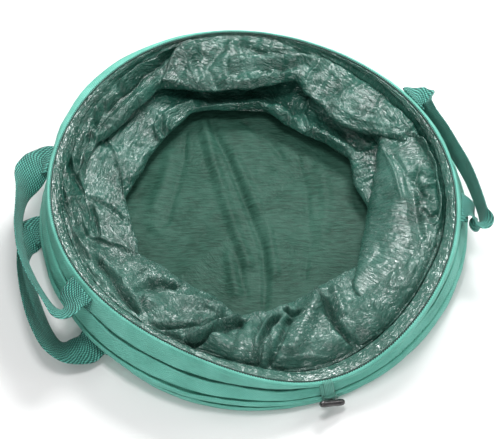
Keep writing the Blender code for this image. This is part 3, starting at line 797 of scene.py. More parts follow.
def flattening(part, mid, wall_r, body):
    """The line along which a sector folds away best: it ends up close to the
    wall, and below the rim's edge where it hangs from the rim."""
    out = np.array([math.cos(mid), math.sin(mid), 0.0])
    r = wall_r * math.cos(PI / SECTORS) - 0.002
    pts = part.reshape(-1, 3)
    top = float(level(0.90, np.array(mid))) if body == "rim" else 1.0
    first = float(part[:, :2, 2].mean())
    best = None
    for tilt in np.radians(np.arange(-70, 71, 5)):
        for drop in (0.0, 0.006, 0.012, 0.018):
            n = out * math.cos(tilt) + np.array([0, 0, 1.0]) * math.sin(tilt)
            anchor = out * r + np.array([0, 0, min(first, top) - drop])
            end = pts - 0.96 * ((pts - anchor) @ n)[:, None] * n
            q = np.hypot(end[:, 0], end[:, 1])
            cost = 6 * max(0.0, end[:, 2].max() - top) + 6 * max(0.0, q.max() - wall_r - 0.001)
            cost += (wall_r - q.min()) + 0.7 * (end[:, 2].max() - end[:, 2].min())
            if best is None or cost < best[0]:
                best = (cost, tuple(n), tuple(anchor))
    return best[1], best[2]


def declare_leaf(objs):
    for obj in objs:
        a = area_of(obj)


# Facing: the glossy strip from the rim's stitched edge down to the folds.
FACE_W = around({0: 0.011, 15: 0.009, 30: 0.007, 45: 0.005, 60: 0.0035, 75: 0.0025, 90: 0.0015, 115: 0.0015,
                 130: 0.005, 150: 0.009, 165: 0.012, 200: 0.013, 225: 0.010, 250: 0.011, 275: 0.016,
                 300: 0.020, 325: 0.018, 345: 0.013})
FACE_D = around({0: 0.008, 30: 0.006, 60: 0.004, 75: 0.003, 90: 0.0025, 115: 0.003, 130: 0.006, 165: 0.008,
                 200: 0.009, 225: 0.009, 250: 0.008, 275: 0.006, 300: 0.005, 325: 0.007, 345: 0.008})
face_r = rim_radius(AZ) - 0.0040 - FACE_W(AZ)
face_z = rim_height(AZ) - 0.0012 - FACE_D(AZ)

# ---- upper leaf: the wall between the rim and the hoop below it
UP_NOSE = [
    (421, 166, .055), (419, 161, .057), (409, 149, .058), (396, 139.5, .057), (369, 134.4, .055),
    (344.4, 126, .054), (329.5, 118, .054), (316, 103, .056), (303, 92, .058), (301.5, 85, .060),
    (296, 78.5, .062), (270, 85, .060), (245, 88, .059), (218, 91, .058), (190, 89, .060),
    (160, 88, .062), (143, 105, .062), (125, 122, .061), (108, 137, .058), (96, 144, .056),
    (89, 160, .054), (86, 180, .052), (84, 196, .051), (88.5, 213, .050), (93, 232, .050),
    (97, 240, .049), (115, 245, .046), (131.6, 249.5, .042), (143, 255, .038), (160, 266, .037),
    (180, 279, .036), (218, 296.5, .034), (238, 316, .034), (262, 311, .036), (280, 306, .038),
    (300, 298, .038), (320, 285.5, .038), (340, 275, .036), (352, 268, .034),
]
un_r, un_z = nose_line(UP_NOSE, 3)
tuck = np.clip((turn(AZ - math.radians(4.0)) / math.radians(1.0)), -1, 1)
d = np.degrees(turn(AZ))
hide = np.clip((d + 14) / 8, 0, 1) * np.clip((22.5 - d) / 2.5, 0, 1)
un_r = un_r * (1 - hide) + (face_r - 0.016) * hide
un_z = un_z * (1 - hide) + 0.050 * hide

up_hi = rim_height(AZ) - around({
    0: .014, 20: .010, 40: .008, 60: .006, 80: .003, 100: .002, 115: .004, 130: .010, 140: .014, 160: .014,
    180: .013, 200: .013, 220: .013, 240: .012, 260: .004, 280: -.006, 292: -.013, 305: -.009,
    320: .004, 340: .014})(AZ)
up_mid = around({0: .054, 25: .062, 40: .065, 60: .066, 80: .070, 100: .070, 120: .068, 140: .064,
                 160: .061, 180: .060, 200: .056, 215: .050, 235: .052, 255: .053, 275: .052,
                 292: .050, 305: .050, 320: .050, 340: .050})(AZ)
dip = around({0: .014, 30: .014, 50: .010, 70: .006, 90: .0015, 115: .0015, 130: .008, 150: .006, 170: .003,
              200: .004, 225: .004, 250: .007, 275: .010, 295: .012, 320: .014, 340: .014})(AZ)

depth = un_r - face_r
UP = [
    (face_r, face_z),
    (face_r - 0.0035, face_z - dip),
    (face_r + 0.13 * depth, 0.35 * (face_z - dip) + 0.65 * up_hi),
    (face_r + 0.32 * depth, up_hi),
    (face_r + 0.62 * depth, up_mid),
    (face_r + 0.90 * depth, un_z + 0.0065),
    (un_r, un_z),
    (un_r + 0.0050, un_z - 0.0060),
    (face_r + 0.60 * depth, un_z - 0.0080),
    (face_r - 0.002, level(0.665, AZ)),
]
UP_ROWS = [6, 8, 12, 18, 16, 9, 5, 8, 8]
P, where = leaf_points(UP, UP_ROWS)
P = wrap_smooth(P, 2)

UP_FOLDS = [
    # rear left: the crest from the rim to the lip, and the dark clefts above it
    ("crease", 4.5, 9, 7, [(92, 139), (108, 124), (125, 109), (143, 94), (160, 80)]),
    ("crease", -11.0, 6, 9, [(94, 124), (106, 108), (122, 92), (140, 75), (158, 58), (178, 42)]),
    ("crease", 3.5, 4, 4, [(118, 86), (136, 70), (160, 54)]),
    ("crease", 3.0, 4, 3, [(98, 98), (97, 112), (93, 132), (88, 146), (85, 162), (80, 177)]),
    ("crease", -5.0, 4, 5, [(104, 100), (101, 116), (97, 128)]),
    ("step", 6.0, 2, 26, [(160, 86), (168, 66), (176, 50), (189, 37)]),
    # top panel
    ("crease", -3.2, 7, 9, [(227, 43), (216, 55), (208, 67), (213, 78), (219, 90)]),
    ("round", 3.0, 12, 12, [(196, 44), (190, 62), (186, 82)]),
    ("crease", -5.5, 6, 8, [(236, 41), (262, 49), (296, 50), (330, 55)]),
    ("round", 3.8, 9, 9, [(226, 62), (262, 60), (300, 58), (334, 56)]),
    ("crease", -2.2, 5, 6, [(226, 72), (262, 70), (300, 65)]),
    ("round", 2.0, 6, 6, [(222, 82), (250, 80), (292, 71)]),
    # rear right panel
    ("crease", -2.6, 8, 3, [(318, 99), (334, 92), (361, 82)]),
    ("crease", 2.4, 5, 5, [(304, 88), (310, 74), (322, 62)]),
    ("crease", 1.8, 4, 6, [(330, 70), (340, 80), (345, 92)]),
    ("crease", 2.2, 8, 6, [(330, 104), (352, 116), (380, 126), (404, 132)]),
    ("crease", -2.4, 5, 5, [(404, 146), (414, 138), (424, 132)]),
    ("crease", 2.2, 4, 4, [(398, 140), (407, 132), (414, 122)]),
    # left panel
    ("crease", -6.0, 3, 7, [(66, 148), (72, 165), (79, 180), (84, 195)]),
    ("crease", 2.2, 5, 5, [(58, 178), (66, 192), (76, 205), (90, 236)]),
    ("round", 3.0, 14, 8, [(70, 196), (76, 214), (86, 236)]),
    ("crease", -3.0, 4, 4, [(64, 150), (70, 160), (72, 176)]),
    # front left
    ("step", 5.0, 2, 20, [(143, 255), (131, 249.5), (115, 245), (96, 240)]),
    ("crease", 3.5, 7, 7, [(75, 234), (84, 246), (93, 257)]),
    ("crease", -9.0, 7, 9, [(97, 254), (106, 268), (118, 284), (128, 300), (136, 317)]),
    ("round", 4.5, 12, 16, [(122, 262), (142, 270), (166, 281), (182, 285)]),
    ("crease", -5.5, 6, 6, [(133, 292), (146, 286), (160, 286), (178, 290)]),
    ("round", 5.0, 8, 12, [(142, 301), (170, 296), (198, 300), (228, 308)]),
    ("round", 2.0, 14, 14, [(84, 264), (98, 284), (114, 304)]),
    # front: the folded triangle and its dark fold
    ("crease", -6.0, 5, 3, [(146, 327), (180, 326), (206, 322), (230, 316)]),
    ("crease", 6.5, 7, 2.5, [(181, 343), (198, 334), (213, 327), (228, 321), (243, 316)]),
    ("crease", -11.0, 2.5, 7, [(180, 347), (198, 339), (214, 331), (230, 325), (244, 320)]),
    ("round", -8.0, 6, 6, [(160, 333), (172, 338), (181, 342)]),
    # front panels
    ("round", 7.0, 16, 16, [(208, 338), (222, 346), (236, 352)]),
    ("crease", 5.2, 5, 3, [(274, 312), (263, 324), (256, 340), (252, 366)]),
    ("crease", -9.0, 3, 6, [(280, 314), (267, 328), (261, 344), (257, 370)]),
    ("crease", 2.8, 4, 4, [(284, 316), (272, 330), (265, 346), (262, 366)]),
    ("crease", -8.5, 5, 7, [(292, 316), (286, 328), (278, 346), (268, 368)]),
    ("crease", -6.0, 4, 4, [(282, 308), (292, 313), (302, 314)]),
    ("round", 8.0, 12, 18, [(322, 292), (310, 314), (300, 336), (292, 356)]),
    ("crease", -9.5, 4, 8, [(325, 296), (330, 308), (337, 322), (348, 336), (358, 345)]),
    ("round", 4.5, 8, 8, [(333, 286), (340, 302), (345, 317)]),
    ("crease", 3.5, 4, 4, [(341, 322), (350, 334), (357, 347)]),
    ("crease", 3.0, 4, 4, [(262, 366), (285, 360), (312, 358), (338, 360)]),
]
on_top = np.clip((where - 1.0) / 0.7, 0, 1) * np.clip((6.2 - where) / 1.0, 0, 1)
W = np.broadcast_to(on_top, P.shape[:2])
P = apply_folds(P, UP_FOLDS, W)
P = stray_creases(P, 120, 5, (0.165, 0.262), W, lengths=(0.025, 0.075), widths=(0.006, 0.018), heights=(0.9, 2.8), bias=0.5)
P = stray_creases(P, 220, 6, (0.165, 0.268), W, lengths=(0.008, 0.024), widths=(0.003, 0.007), heights=(0.5, 1.6), bias=1.1)
flatP = P.reshape(-1, 3)
stretch = flatP * np.array([1, 1, 0.35])
front = np.clip(-(flatP[:, 1] + 0.02) / 0.08, 0, 1)
k1 = crumple(stretch, 0.034, 3.0) * 0.0026
k2 = crumple(stretch, 0.015, 8.0) * (0.0008 + 0.0006 * front)
k3 = crumple(stretch, 0.0075, 1.0) * (0.0003 + 0.00025 * front)
ease = np.broadcast_to(np.clip(where / 1.0, 0.15, 1), P.shape[:2]).reshape(-1)
flatP = flatP + np.stack(
    [swell(stretch, 0.03, 1.0) * 0.0022, swell(stretch, 0.03, 4.0) * 0.0022, k1 + k2 + k3], -1
) * ease[:, None]
P = flatP.reshape(P.shape)
upper = cut_leaf("upper_fold", P, LINING, "rim", 0.2745)
for o in upper:
    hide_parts("wall_panel_upper")
declare_leaf(upper)

# ---- the broad bulge at the right, part of the upper wall, tucked at its ends
BULGE_NOSE = [
    (380, 347, .050), (366, 340, .048), (354, 332, .046), (346, 323, .044), (349, 301, .042),
    (352, 280, .041), (358, 258, .041), (361, 241, .041), (366, 219, .041), (369, 199, .042),
    (373, 179, .043), (376, 158, .043), (378, 143, .043),
]
bn_r, bn_z = nose_line(BULGE_NOSE, 3)
gone = np.clip((d - 38) / 8, 0, 1) + np.clip((-47 - d) / 7, 0, 1)
gone = np.clip(gone, 0, 1)
gone = gone * gone * (3 - 2 * gone)
bn_r = bn_r * (1 - gone) + (face_r - 0.020) * gone
bn_z = bn_z * (1 - gone) + 0.024 * gone
b_hi = around({0: .068, 20: .062, 35: .050, 60: .030, 296: .026, 304: .034, 312: .050, 325: .060, 345: .067})(AZ)
b_mid = around({0: .067, 20: .060, 35: .048, 60: .030, 296: .026, 304: .036, 312: .052, 325: .058, 345: .065})(AZ)
depth = bn_r - face_r
BULGE = [
    (face_r - 0.001, face_z - 0.001),
    (face_r - 0.0042, face_z - dip * 0.95),
    (face_r + 0.12 * depth, 0.35 * (face_z - dip) + 0.65 * b_hi),
    (face_r + 0.28 * depth, b_hi),
    (face_r + 0.60 * depth, b_mid),
    (face_r + 0.90 * depth, bn_z + 0.0110),
    (bn_r, bn_z),
    (bn_r + 0.0060, bn_z - 0.0080),
    (face_r + 0.60 * depth, bn_z - 0.0090),
    (face_r - 0.003, level(0.67, AZ)),
]
P, where = leaf_points(BULGE, [6, 8, 10, 18, 16, 9, 5, 7, 7])
P = wrap_smooth(P, 2)
BULGE_FOLDS = [
    ("crease", -4.5, 4, 5, [(420, 166), (416, 180), (424, 194), (436, 200)]),
    ("crease", 3.2, 4, 4, [(418, 170), (428, 176), (440, 172)]),
    ("crease", 3.0, 4, 4, [(424, 186), (434, 184), (444, 178)]),
    ("crease", -3.5, 4, 4, [(420, 206), (430, 216), (442, 212)]),
    ("crease", 2.2, 3, 3, [(418, 200), (430, 196), (444, 206)]),
    ("crease", 1.8, 3, 3, [(422, 214), (432, 224), (444, 222)]),
    ("round", -3.0, 6, 10, [(412, 172), (416, 210), (424, 250), (420, 276)]),
    ("crease", 2.0, 3, 5, [(384, 150), (396, 176), (402, 200)]),
    ("crease", -1.8, 4, 4, [(392, 152), (404, 170), (410, 192)]),
    ("crease", 3.5, 5, 5, [(352, 318), (364, 328), (374, 340)]),
    ("crease", -5.0, 4, 5, [(356, 326), (362, 334), (366, 344)]),
    ("crease", 3.5, 4, 4, [(366, 322), (374, 330), (380, 340)]),
    ("crease", -3.5, 4, 4, [(372, 316), (382, 326), (388, 330)]),
]
on_top = np.clip((where - 1.0) / 0.7, 0, 1) * np.clip((6.2 - where) / 1.0, 0, 1)
W = np.broadcast_to(on_top, P.shape[:2])
P = apply_folds(P, BULGE_FOLDS, W)
P = stray_creases(P, 90, 15, (0.225, 0.268), W, lengths=(0.012, 0.034), widths=(0.004, 0.010), heights=(0.5, 1.8))
flatP = P.reshape(-1, 3)
px = drawn(flatP)
across = px[:, 0] * -0.42 + px[:, 1] * 0.907
wob = swell(flatP, 0.022, 2.0) * 3.0
fine = np.abs(np.sin((across + wob) * PI / 5.2)) - 0.6
patchy = np.clip(0.5 + swell(flatP, 0.03, 6.0), 0, 1)
low = np.clip((px[:, 1] - 215) / 40, 0.25, 1)
streaks = -0.0007 * fine * patchy * low
k1 = crumple(flatP, 0.045, 13.0) * 0.0011
k2 = crumple(flatP, 0.014, 18.0) * 0.00045
ease = np.broadcast_to(np.clip(where / 1.0, 0.15, 1), P.shape[:2]).reshape(-1)
flatP = flatP + np.stack([swell(flatP, 0.04, 1.0) * 0.0012, swell(flatP, 0.04, 4.0) * 0.0012, k1 + k2 + streaks], -1) * ease[:, None]
P = flatP.reshape(P.shape)
bulge = cut_leaf("upper_bulge", P, LINING_CROSS, "rim", 0.2745, skip=tuple(s for s in range(SECTORS) if 2 < s < 13))
declare_leaf(bulge)

# ---- middle leaf: the wall between the two middle hoops
MID_NOSE = [
    (372, 262, .027), (372, 232, .027), (368, 208, .027), (358, 191, .027), (354, 184, .028), (352, 172, .029),
    (350, 158, .029), (335, 148, .029), (320, 140, .029), (300, 131, .029), (283, 122, .030), (265, 108.5, .031),
    (230, 109, .031), (210, 109, .031), (193, 111, .031), (183, 120, .030), (170, 132, .030), (158, 145, .029),
    (143, 170, .028), (126, 197, .027), (130, 218, .027), (138, 240, .026), (140, 262, .024),
    (176, 288, .022), (213, 306, .020), (236, 324, .018), (270, 320, .018), (300, 308, .018),
    (322, 296, .018), (352, 280, .020),
]
mn_r, mn_z = nose_line(MID_NOSE, 3)
root_r = outside(0.655 + 0 * AZ, AZ) - SLEEVE_DEPTH - 0.002
root_r = np.minimum(root_r, rim_radius(AZ) - 0.014)
mid_hi = level(0.60, AZ) - around({0: .004, 60: .000, 90: .000, 120: .002, 160: .006, 200: .006,
                                   250: .006, 290: .004, 330: .006})(AZ)
mid_hi = np.minimum(mid_hi, around({0: .060, 30: .044, 50: .036, 65: .032, 85: .028, 105: .026, 118: .034,
                                   130: .060, 300: .060})(AZ))
mid_mid = around({0: .036, 30: .034, 50: .030, 65: .026, 85: .020, 105: .020, 118: .032, 130: .044, 150: .046,
                  180: .040, 210: .032, 250: .026, 290: .022, 330: .028})(AZ)
depth = mn_r - root_r
MID = [
    (root_r, level(0.62, AZ)),
    (root_r - 0.006, level(0.60, AZ)),
    (root_r + 0.32 * depth, mid_hi),
    (root_r + 0.64 * depth, mid_mid),
    (root_r + 0.92 * depth, mn_z + 0.0050),
    (mn_r, mn_z),
    (mn_r + 0.0045, mn_z - 0.0050),
    (root_r + 0.60 * depth, mn_z - 0.0060),
    (root_r - 0.001, level(0.36, AZ)),
]
P, where = leaf_points(MID, [4, 12, 14, 14, 8, 5, 7, 7])
P = wrap_smooth(P, 2)
MID_FOLDS = [
    # the facet and the little pleats left of the second lip
    ("crease", 4.0, 7, 6, [(196, 101), (178, 109), (161, 117)]),
    ("crease", 3.0, 3, 3, [(160, 117), (155, 127), (157, 137), (163, 144)]),
    ("crease", -4.0, 3, 3, [(162, 119), (161, 129), (166, 138)]),
    ("crease", 2.4, 3, 3, [(168, 118), (166, 128), (172, 135)]),
    ("crease", -4.0, 5, 5, [(198, 104), (222, 100), (250, 97)]),
    ("round", 3.0, 4, 4, [(198, 108.5), (230, 106.5), (262, 104)]),
    # left rear panel and the dark crease beside it
    ("step", 5.0, 9, 2, [(130, 224), (126, 205), (122, 181), (116, 157), (108, 138)]),
    ("round", 3.0, 12, 12, [(150, 150), (142, 165), (132, 184)]),
    ("crease", -2.0, 6, 6, [(146, 118), (134, 140), (128, 160)]),
    ("crease", -3.0, 4, 3, [(87, 197), (98, 201), (110, 208), (124, 221)]),
    ("crease", -5.0, 3, 6, [(92, 205), (96, 222), (100, 240)]),
    # right part of the second lip
    ("crease", 3.6, 3, 4, [(310, 99), (304, 114), (309, 127)]),
    ("crease", -3.2, 4, 4, [(297, 100), (294, 112), (290, 122)]),
    ("round", 3.0, 6, 6, [(272, 104), (284, 112), (300, 124)]),
    ("round", 3.0, 8, 5, [(310, 128), (328, 138), (348, 150)]),
    ("crease", -6.0, 8, 8, [(318, 112), (336, 124), (352, 138), (364, 150)]),
]
on_top = np.clip((where - 0.3) / 0.5, 0, 1) * np.clip((5.2 - where) / 1.0, 0, 1)
W = np.broadcast_to(on_top, P.shape[:2])
P = apply_folds(P, MID_FOLDS, W)
P = stray_creases(P, 100, 25, (0.140, 0.255), W, lengths=(0.025, 0.065), heights=(0.8, 2.4), bias=0.5)
P = stray_creases(P, 140, 26, (0.140, 0.255), W, lengths=(0.008, 0.022), widths=(0.003, 0.006), heights=(0.4, 1.0), bias=1.1)
flatP = P.reshape(-1, 3)
px = drawn(flatP)
ruche = np.exp(-(((px[:, 0] - 363) / 10) ** 2 + ((px[:, 1] - 171) / 16) ** 2))
waves = np.abs(np.sin((px[:, 1] + 0.25 * px[:, 0] + swell(flatP, 0.01, 3.0) * 2) * PI / 6.5)) * 0.0028 * ruche
k1 = crumple(flatP * np.array([1, 1, 0.35]), 0.036, 23.0) * 0.0019
k2 = crumple(flatP, 0.014, 28.0) * 0.0007
k3 = crumple(flatP, 0.0075, 29.0) * 0.0003
ease = np.broadcast_to(np.clip(where / 1.0, 0.15, 1), P.shape[:2]).reshape(-1)
flatP = flatP + np.stack([swell(flatP, 0.035, 11.0) * 0.0014, swell(flatP, 0.035, 14.0) * 0.0014, k1 + k2 + k3 + waves], -1) * ease[:, None]
P = flatP.reshape(P.shape)
middle = cut_leaf("middle_fold", P, LINING, "coil_2", 0.2745)
for o in middle:
    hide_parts("wall_panel_middle")
declare_leaf(middle)

# ---- lower leaf, hidden but for its nose
ln_r = mn_r + 0.012 + 0.004 * np.sin(7 * AZ)
ln_z = np.minimum(mn_z - 0.009, 0.016)
ln_z = np.maximum(ln_z, 0.0095)
low_root = outside(0.33 + 0 * AZ, AZ) - SLEEVE_DEPTH - 0.002
depth = ln_r - low_root
LOW = [
    (low_root, level(0.325, AZ)),
    (low_root + 0.10 * depth, level(0.31, AZ) - 0.001),
    (low_root + 0.5 * depth, level(0.29, AZ) - 0.002),
    (low_root + 0.90 * depth, ln_z + 0.003),
    (ln_r, ln_z),
    (ln_r + 0.004, ln_z - 0.004),
    (low_root + 0.5 * depth, 0 * AZ + 0.0062),
    (low_root - 0.001, level(0.04, AZ) + 0.0015),
]
P, where = leaf_points(LOW, [2, 5, 6, 5, 3, 4, 4])
flatP = P.reshape(-1, 3)
flatP = flatP + np.stack([0 * flatP[:, 0], 0 * flatP[:, 0], crumple(flatP, 0.03, 33.0) * 0.0009], -1)
P = flatP.reshape(P.shape)
lower = cut_leaf("lower_fold", P, LINING_DEEP, "coil_1", 0.277)
for o in lower:
    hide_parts("wall_panel_lower")
declare_leaf(lower)


# -------------------------------------------------------------- the base panel
n = 150
g = np.linspace(-1, 1, n + 1)
X, Y = np.meshgrid(g, g, indexing="ij")
far = np.maximum(np.abs(X), np.abs(Y)) / np.maximum(np.hypot(X, Y), 1e-9)
X, Y = X * far, Y * far
X = np.where(np.isfinite(X), X, 0)
Y = np.where(np.isfinite(Y), Y, 0)
ang = np.arctan2(Y, X)
rad = np.hypot(X, Y) * (outside(0 * ang, ang) - SLEEVE_DEPTH - 0.0006)
P = np.stack([rad * np.cos(ang), rad * np.sin(ang), 0.0052 + 0 * rad], -1)
BASE_FOLDS = [
    ("crease", -3.4, 5, 5, [(210, 119), (218, 140), (227, 157), (236, 180), (248, 210), (262, 247), (266, 284), (264, 309)]),
    ("round", 2.4, 9, 9, [(203, 119), (210, 150), (222, 190), (236, 230), (250, 270)]),
    ("round", 1.8, 8, 8, [(232, 150), (250, 190), (268, 230), (276, 280)]),
    ("crease", -2.0, 6, 6, [(241, 119), (256, 130), (272, 144), (284, 160)]),
    ("crease", -1.8, 5, 5, [(239, 262), (242, 280), (247, 298)]),
    ("round", 1.6, 8, 8, [(228, 252), (232, 276), (236, 298)]),
    ("crease", -1.4, 5, 5, [(186, 130), (184, 160), (176, 190), (166, 226)]),
    ("round", 1.6, 10, 10, [(172, 150), (166, 180), (152, 214)]),
    ("round", 1.4, 8, 8, [(150, 224), (160, 232), (172, 230)]),
    ("crease", -1.2, 6, 6, [(296, 150), (306, 190), (310, 240), (304, 280)]),
    ("round", 1.2, 10, 10, [(320, 160), (326, 200), (322, 250)]),
    ("crease", -1.2, 4, 4, [(266, 168), (280, 176), (292, 178)]),
]
inside = np.clip((0.24 - rad) / 0.05, 0, 1)
P = apply_folds(P, BASE_FOLDS, inside)
P = stray_creases(P, 120, 45, (0.0, 0.19), inside, lengths=(0.02, 0.07), widths=(0.005, 0.014), heights=(0.25, 0.8), bias=2.0)
flatP = P.reshape(-1, 3)
flatP[:, 2] += (crumple(flatP, 0.05, 41.0) * 0.0011 + crumple(flatP * np.array([0.6, 1.6, 1]), 0.018, 44.0) * 0.00035) * inside.reshape(-1)
flatP[:, 2] = np.where(inside.reshape(-1) > 0, flatP[:, 2], 0.0022)
flatP[:, 2] = np.maximum(flatP[:, 2] * np.clip(0.25 + inside.reshape(-1), 0, 1) + 0.0012 * (1 - inside.reshape(-1)), 0.0009)
P = flatP.reshape(P.shape)
base_cloth = grid_piece("base_panel_cloth", P, BASE, uv=(g * 0.289, g * 0.289))
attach(base_cloth, "base")
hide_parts("base_panel")


# ------------------------------------------------------------- sleeves and hems
NB = 900
BA = np.arange(NB) * 2 * PI / NB


def ring_points(section):
    """section gives (r, z) rows at all azimuths BA."""
    return np.stack([np.stack([r * np.cos(BA), r * np.sin(BA), z + 0 * BA], -1) for r, z in section], 1)


def band_cloth(name, low, high, body, nodes, seed, slack=0.0013, ruched=None, flare=None):
    z0 = level(low, BA) if low > 0 else 0 * BA + 0.0006
    z1 = level(high, BA)
    q = np.stack([np.cos(BA) * 3, np.sin(BA) * 3, 0 * BA + seed], -1)
    z0 = z0 + (noise(q * 1.7 + 3) * 0.0022 if low > 0 else 0)
    z1 = z1 + noise(q * 1.6 + 7) * 0.0016
    ro0, ro1 = outside(low + 0 * BA, BA), outside(high + 0 * BA, BA)
    rows = []
    deep = 0.0088
    flared = flare(BA) * (0.75 + 0.6 * noise(q * 5.0 + 11)) if flare is not None else 0 * BA
    flared = np.maximum(flared, 0)
    for k in (1.0, 0.55, 0.22):
        rows.append((ro0 - 0.0011 - deep * k, z0 + 0.0002))
    faces = np.linspace(0, 1, 15)
    for f in faces:
        share = low + (high - low) * f
        r = outside(share + 0 * BA, BA)
        z = z0 + (z1 - z0) * f
        bow = 4 * f * (1 - f)
        edge = 0.0011 * (max(0, 1 - f / 0.08) ** 2 + max(0, 1 - (1 - f) / 0.08) ** 2)
        pts = np.stack([np.cos(BA) * 0.29, np.sin(BA) * 0.29, z], -1)
        soft = swell(pts, 0.045, seed) * slack + crumple(pts * np.array([1, 1, 2.2]), 0.018, seed + 2) * slack * 0.30
        r = r + 0.0011 * bow + soft * (0.45 + 0.55 * bow) - edge
        if ruched is not None:
            where_, amp = ruched
            r = r + where_(BA) * amp * np.sin(BA * 330 + 2 * noise(q * 9)) * (1 - f) ** 0.7
        lip = max(0.0, (f - 0.70) / 0.30) ** 1.6
        rows.append((r + flared * lip, z - 0.15 * flared * lip))
    groove = np.minimum(flared * 1.6, 0.32 * (z1 - z0))
    for k, g in ((0.06, 0.55), (0.22, 1.0), (0.34, 1.0), (0.55, 0.7), (1.0, 0.6)):
        rows.append((ro1 + flared * (0.8 - min(k * 2.2, 0.8)) - 0.0011 - deep * k, z1 - 0.0002 - groove * g))
    P = ring_points(rows)
    across = np.concatenate([[0], np.cumsum(np.linalg.norm(np.diff(P, axis=1), axis=2).mean(0))])
    obj = grid_piece(name, P, TAPE, closed_u=True, uv=(np.arange(NB + 1) * 2 * PI / NB * 0.29, across), flip=True)
    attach(obj, body)
    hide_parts(*nodes)
    a = area_of(obj)
    return obj


right_side = around({0: 0.6, 20: 0.0, 200: 0.0, 295: 0.0, 312: 1.0, 340: 1.0})
FLARE_0 = around({0: 0.001, 180: 0.0, 236: 0.0, 252: 0.0025, 268: 0.0022, 284: 0.0, 340: 0.0})
FLARE_1 = around({0: 0.001, 180: 0.0, 214: 0.0, 228: 0.0030, 240: 0.0018, 250: 0.0042, 262: 0.0022, 276: 0.001, 300: 0.001, 345: 0.0})
FLARE_2 = around({0: 0.0, 180: 0.0, 200: 0.001, 212: 0.0028, 222: 0.0012, 232: 0.0036, 243: 0.0016, 254: 0.0048, 264: 0.0022,
                  276: 0.0034, 286: 0.0010, 300: 0.0020, 318: 0.0035, 335: 0.002, 350: 0.0})
band_cloth("base_hem_cloth", 0.0, 0.155, "base", ["base_hem"], 51.0, flare=FLARE_0)
band_cloth("coil_sleeve_1_cloth", 0.17, 0.340, "coil_1", ["coil_sleeve_1"], 61.0, flare=FLARE_1)
band_cloth("coil_sleeve_2_cloth", 0.36, 0.655, "coil_2", ["coil_sleeve_2"], 71.0, ruched=(right_side, 0.0009), flare=FLARE_2)

# The rim hem: broad outside, rolled over the rim hoop to a stitched edge inside.
ROLL = around({0: 0.000, 80: 0.000, 100: 0.001, 116: 0.004, 132: 0.008, 146: 0.008, 158: 0.0045, 168: 0.0008, 180: 0.0, 300: 0.0})
z1 = level(1.0, BA)
z0 = level(0.68, BA)
q = np.stack([np.cos(BA) * 3, np.sin(BA) * 3, 0 * BA + 81], -1)
z0 = z0 + noise(q * 1.7) * 0.0020
r_rim = rim_radius(BA)
rows = [(outside(0.68 + 0 * BA, BA) - 0.0030, z0 + 0.0006), (outside(0.68 + 0 * BA, BA) - 0.0010, z0)]
for f in np.linspace(0.02, 0.86, 13):
    share = 0.68 + 0.32 * f
    r = np.maximum(outside(share + 0 * BA, BA), r_rim + 0.0026 * min(1, f * 2)) + ROLL(BA) * (0.35 + 0.65 * f) * (0.25 if f < 0.3 else 1) * min(1, f * 2.2)
    z = z0 + (z1 - z0) * f
    pts = np.stack([np.cos(BA) * 0.29, np.sin(BA) * 0.29, z], -1)
    bow = 4 * f * (1 - f)
    r = r + 0.0006 * bow + swell(pts, 0.05, 83.0) * 0.0009 + crumple(pts * np.array([1, 1, 2]), 0.02, 85.0) * 0.00028
    rows.append((r, z))
ro = r_rim + 0.0030 + ROLL(BA)
for t in np.linspace(0.15, 1.0, 7):
    c = t * PI / 2
    rows.append((r_rim - 0.0004 + (ro - r_rim + 0.0004) * math.cos(c), z1 - 0.0030 + 0.0030 * math.sin(c) - 0.3 * ROLL(BA) * math.cos(c)))
for dr, dz in ((0.0012, 0.0001), (0.0021, 0.0006), (0.0028, 0.0018), (0.0031, 0.0050), (0.0031, 0.0088)):
    rows.append((r_rim - dr, z1 - dz))
P = ring_points(rows)
across = np.concatenate([[0], np.cumsum(np.linalg.norm(np.diff(P, axis=1), axis=2).mean(0))])
rim_cloth = grid_piece("rim_hem_cloth", P, TAPE, closed_u=True, uv=(np.arange(NB + 1) * 2 * PI / NB * 0.283, across), flip=True)
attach(rim_cloth, "rim")
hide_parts("rim_hem")
area_of(rim_cloth) / 1.79

inner = np.stack([(r_rim - 0.0014) * np.cos(BA), (r_rim - 0.0014) * np.sin(BA), z1 - 0.0001], -1)
up = np.stack([-0.6 * np.cos(BA), -0.6 * np.sin(BA), 0 * BA + 0.8], -1)
row = stitches("rim_stitching", np.concatenate([inner, inner[:1]]), np.concatenate([up, up[:1]]), THREAD, pitch=0.0034, length=0.0026, radius=0.00052)
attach(row, "rim")
edge_cord = tube(
    "rim_edge_seam",
    np.stack([(r_rim - 0.0031) * np.cos(BA), (r_rim - 0.0031) * np.sin(BA), z1 - 0.0010], -1),
    0.0009, THREAD, closed=True,
)
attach(edge_cord, "rim")

# Facing
fw, fd = FACE_W(BA), FACE_D(BA)
rows = []
for f in np.linspace(0, 1, 16):
    r = r_rim - 0.0037 - fw * f
    z = z1 - 0.0016 - fd * f + 0.0016 * math.sin(PI * f)
    pts = np.stack([np.cos(BA) * 0.28, np.sin(BA) * 0.28, z * 0.3 + f * 0.004], -1)
    z = z + (crumple(pts, 0.016, 91.0) * 0.0010 + crumple(pts, 0.007, 95.0) * 0.0005) * min(1, f * 3)
    rows.append((r, z))
for f in (0.6, 1.0):
    rows.append((r_rim - 0.0037 - fw * (1 - 0.15 * f), z1 - 0.0016 - fd - 0.004 * f))
P = ring_points(rows)
across = np.concatenate([[0], np.cumsum(np.linalg.norm(np.diff(P, axis=1), axis=2).mean(0))])
facing = grid_piece("lining_facing_cloth", P, LINING, closed_u=True, uv=(np.arange(NB + 1) * 2 * PI / NB * 0.276, across), flip=True)
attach(facing, "rim")
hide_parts("lining_facing")
area_of(facing) / 1.74


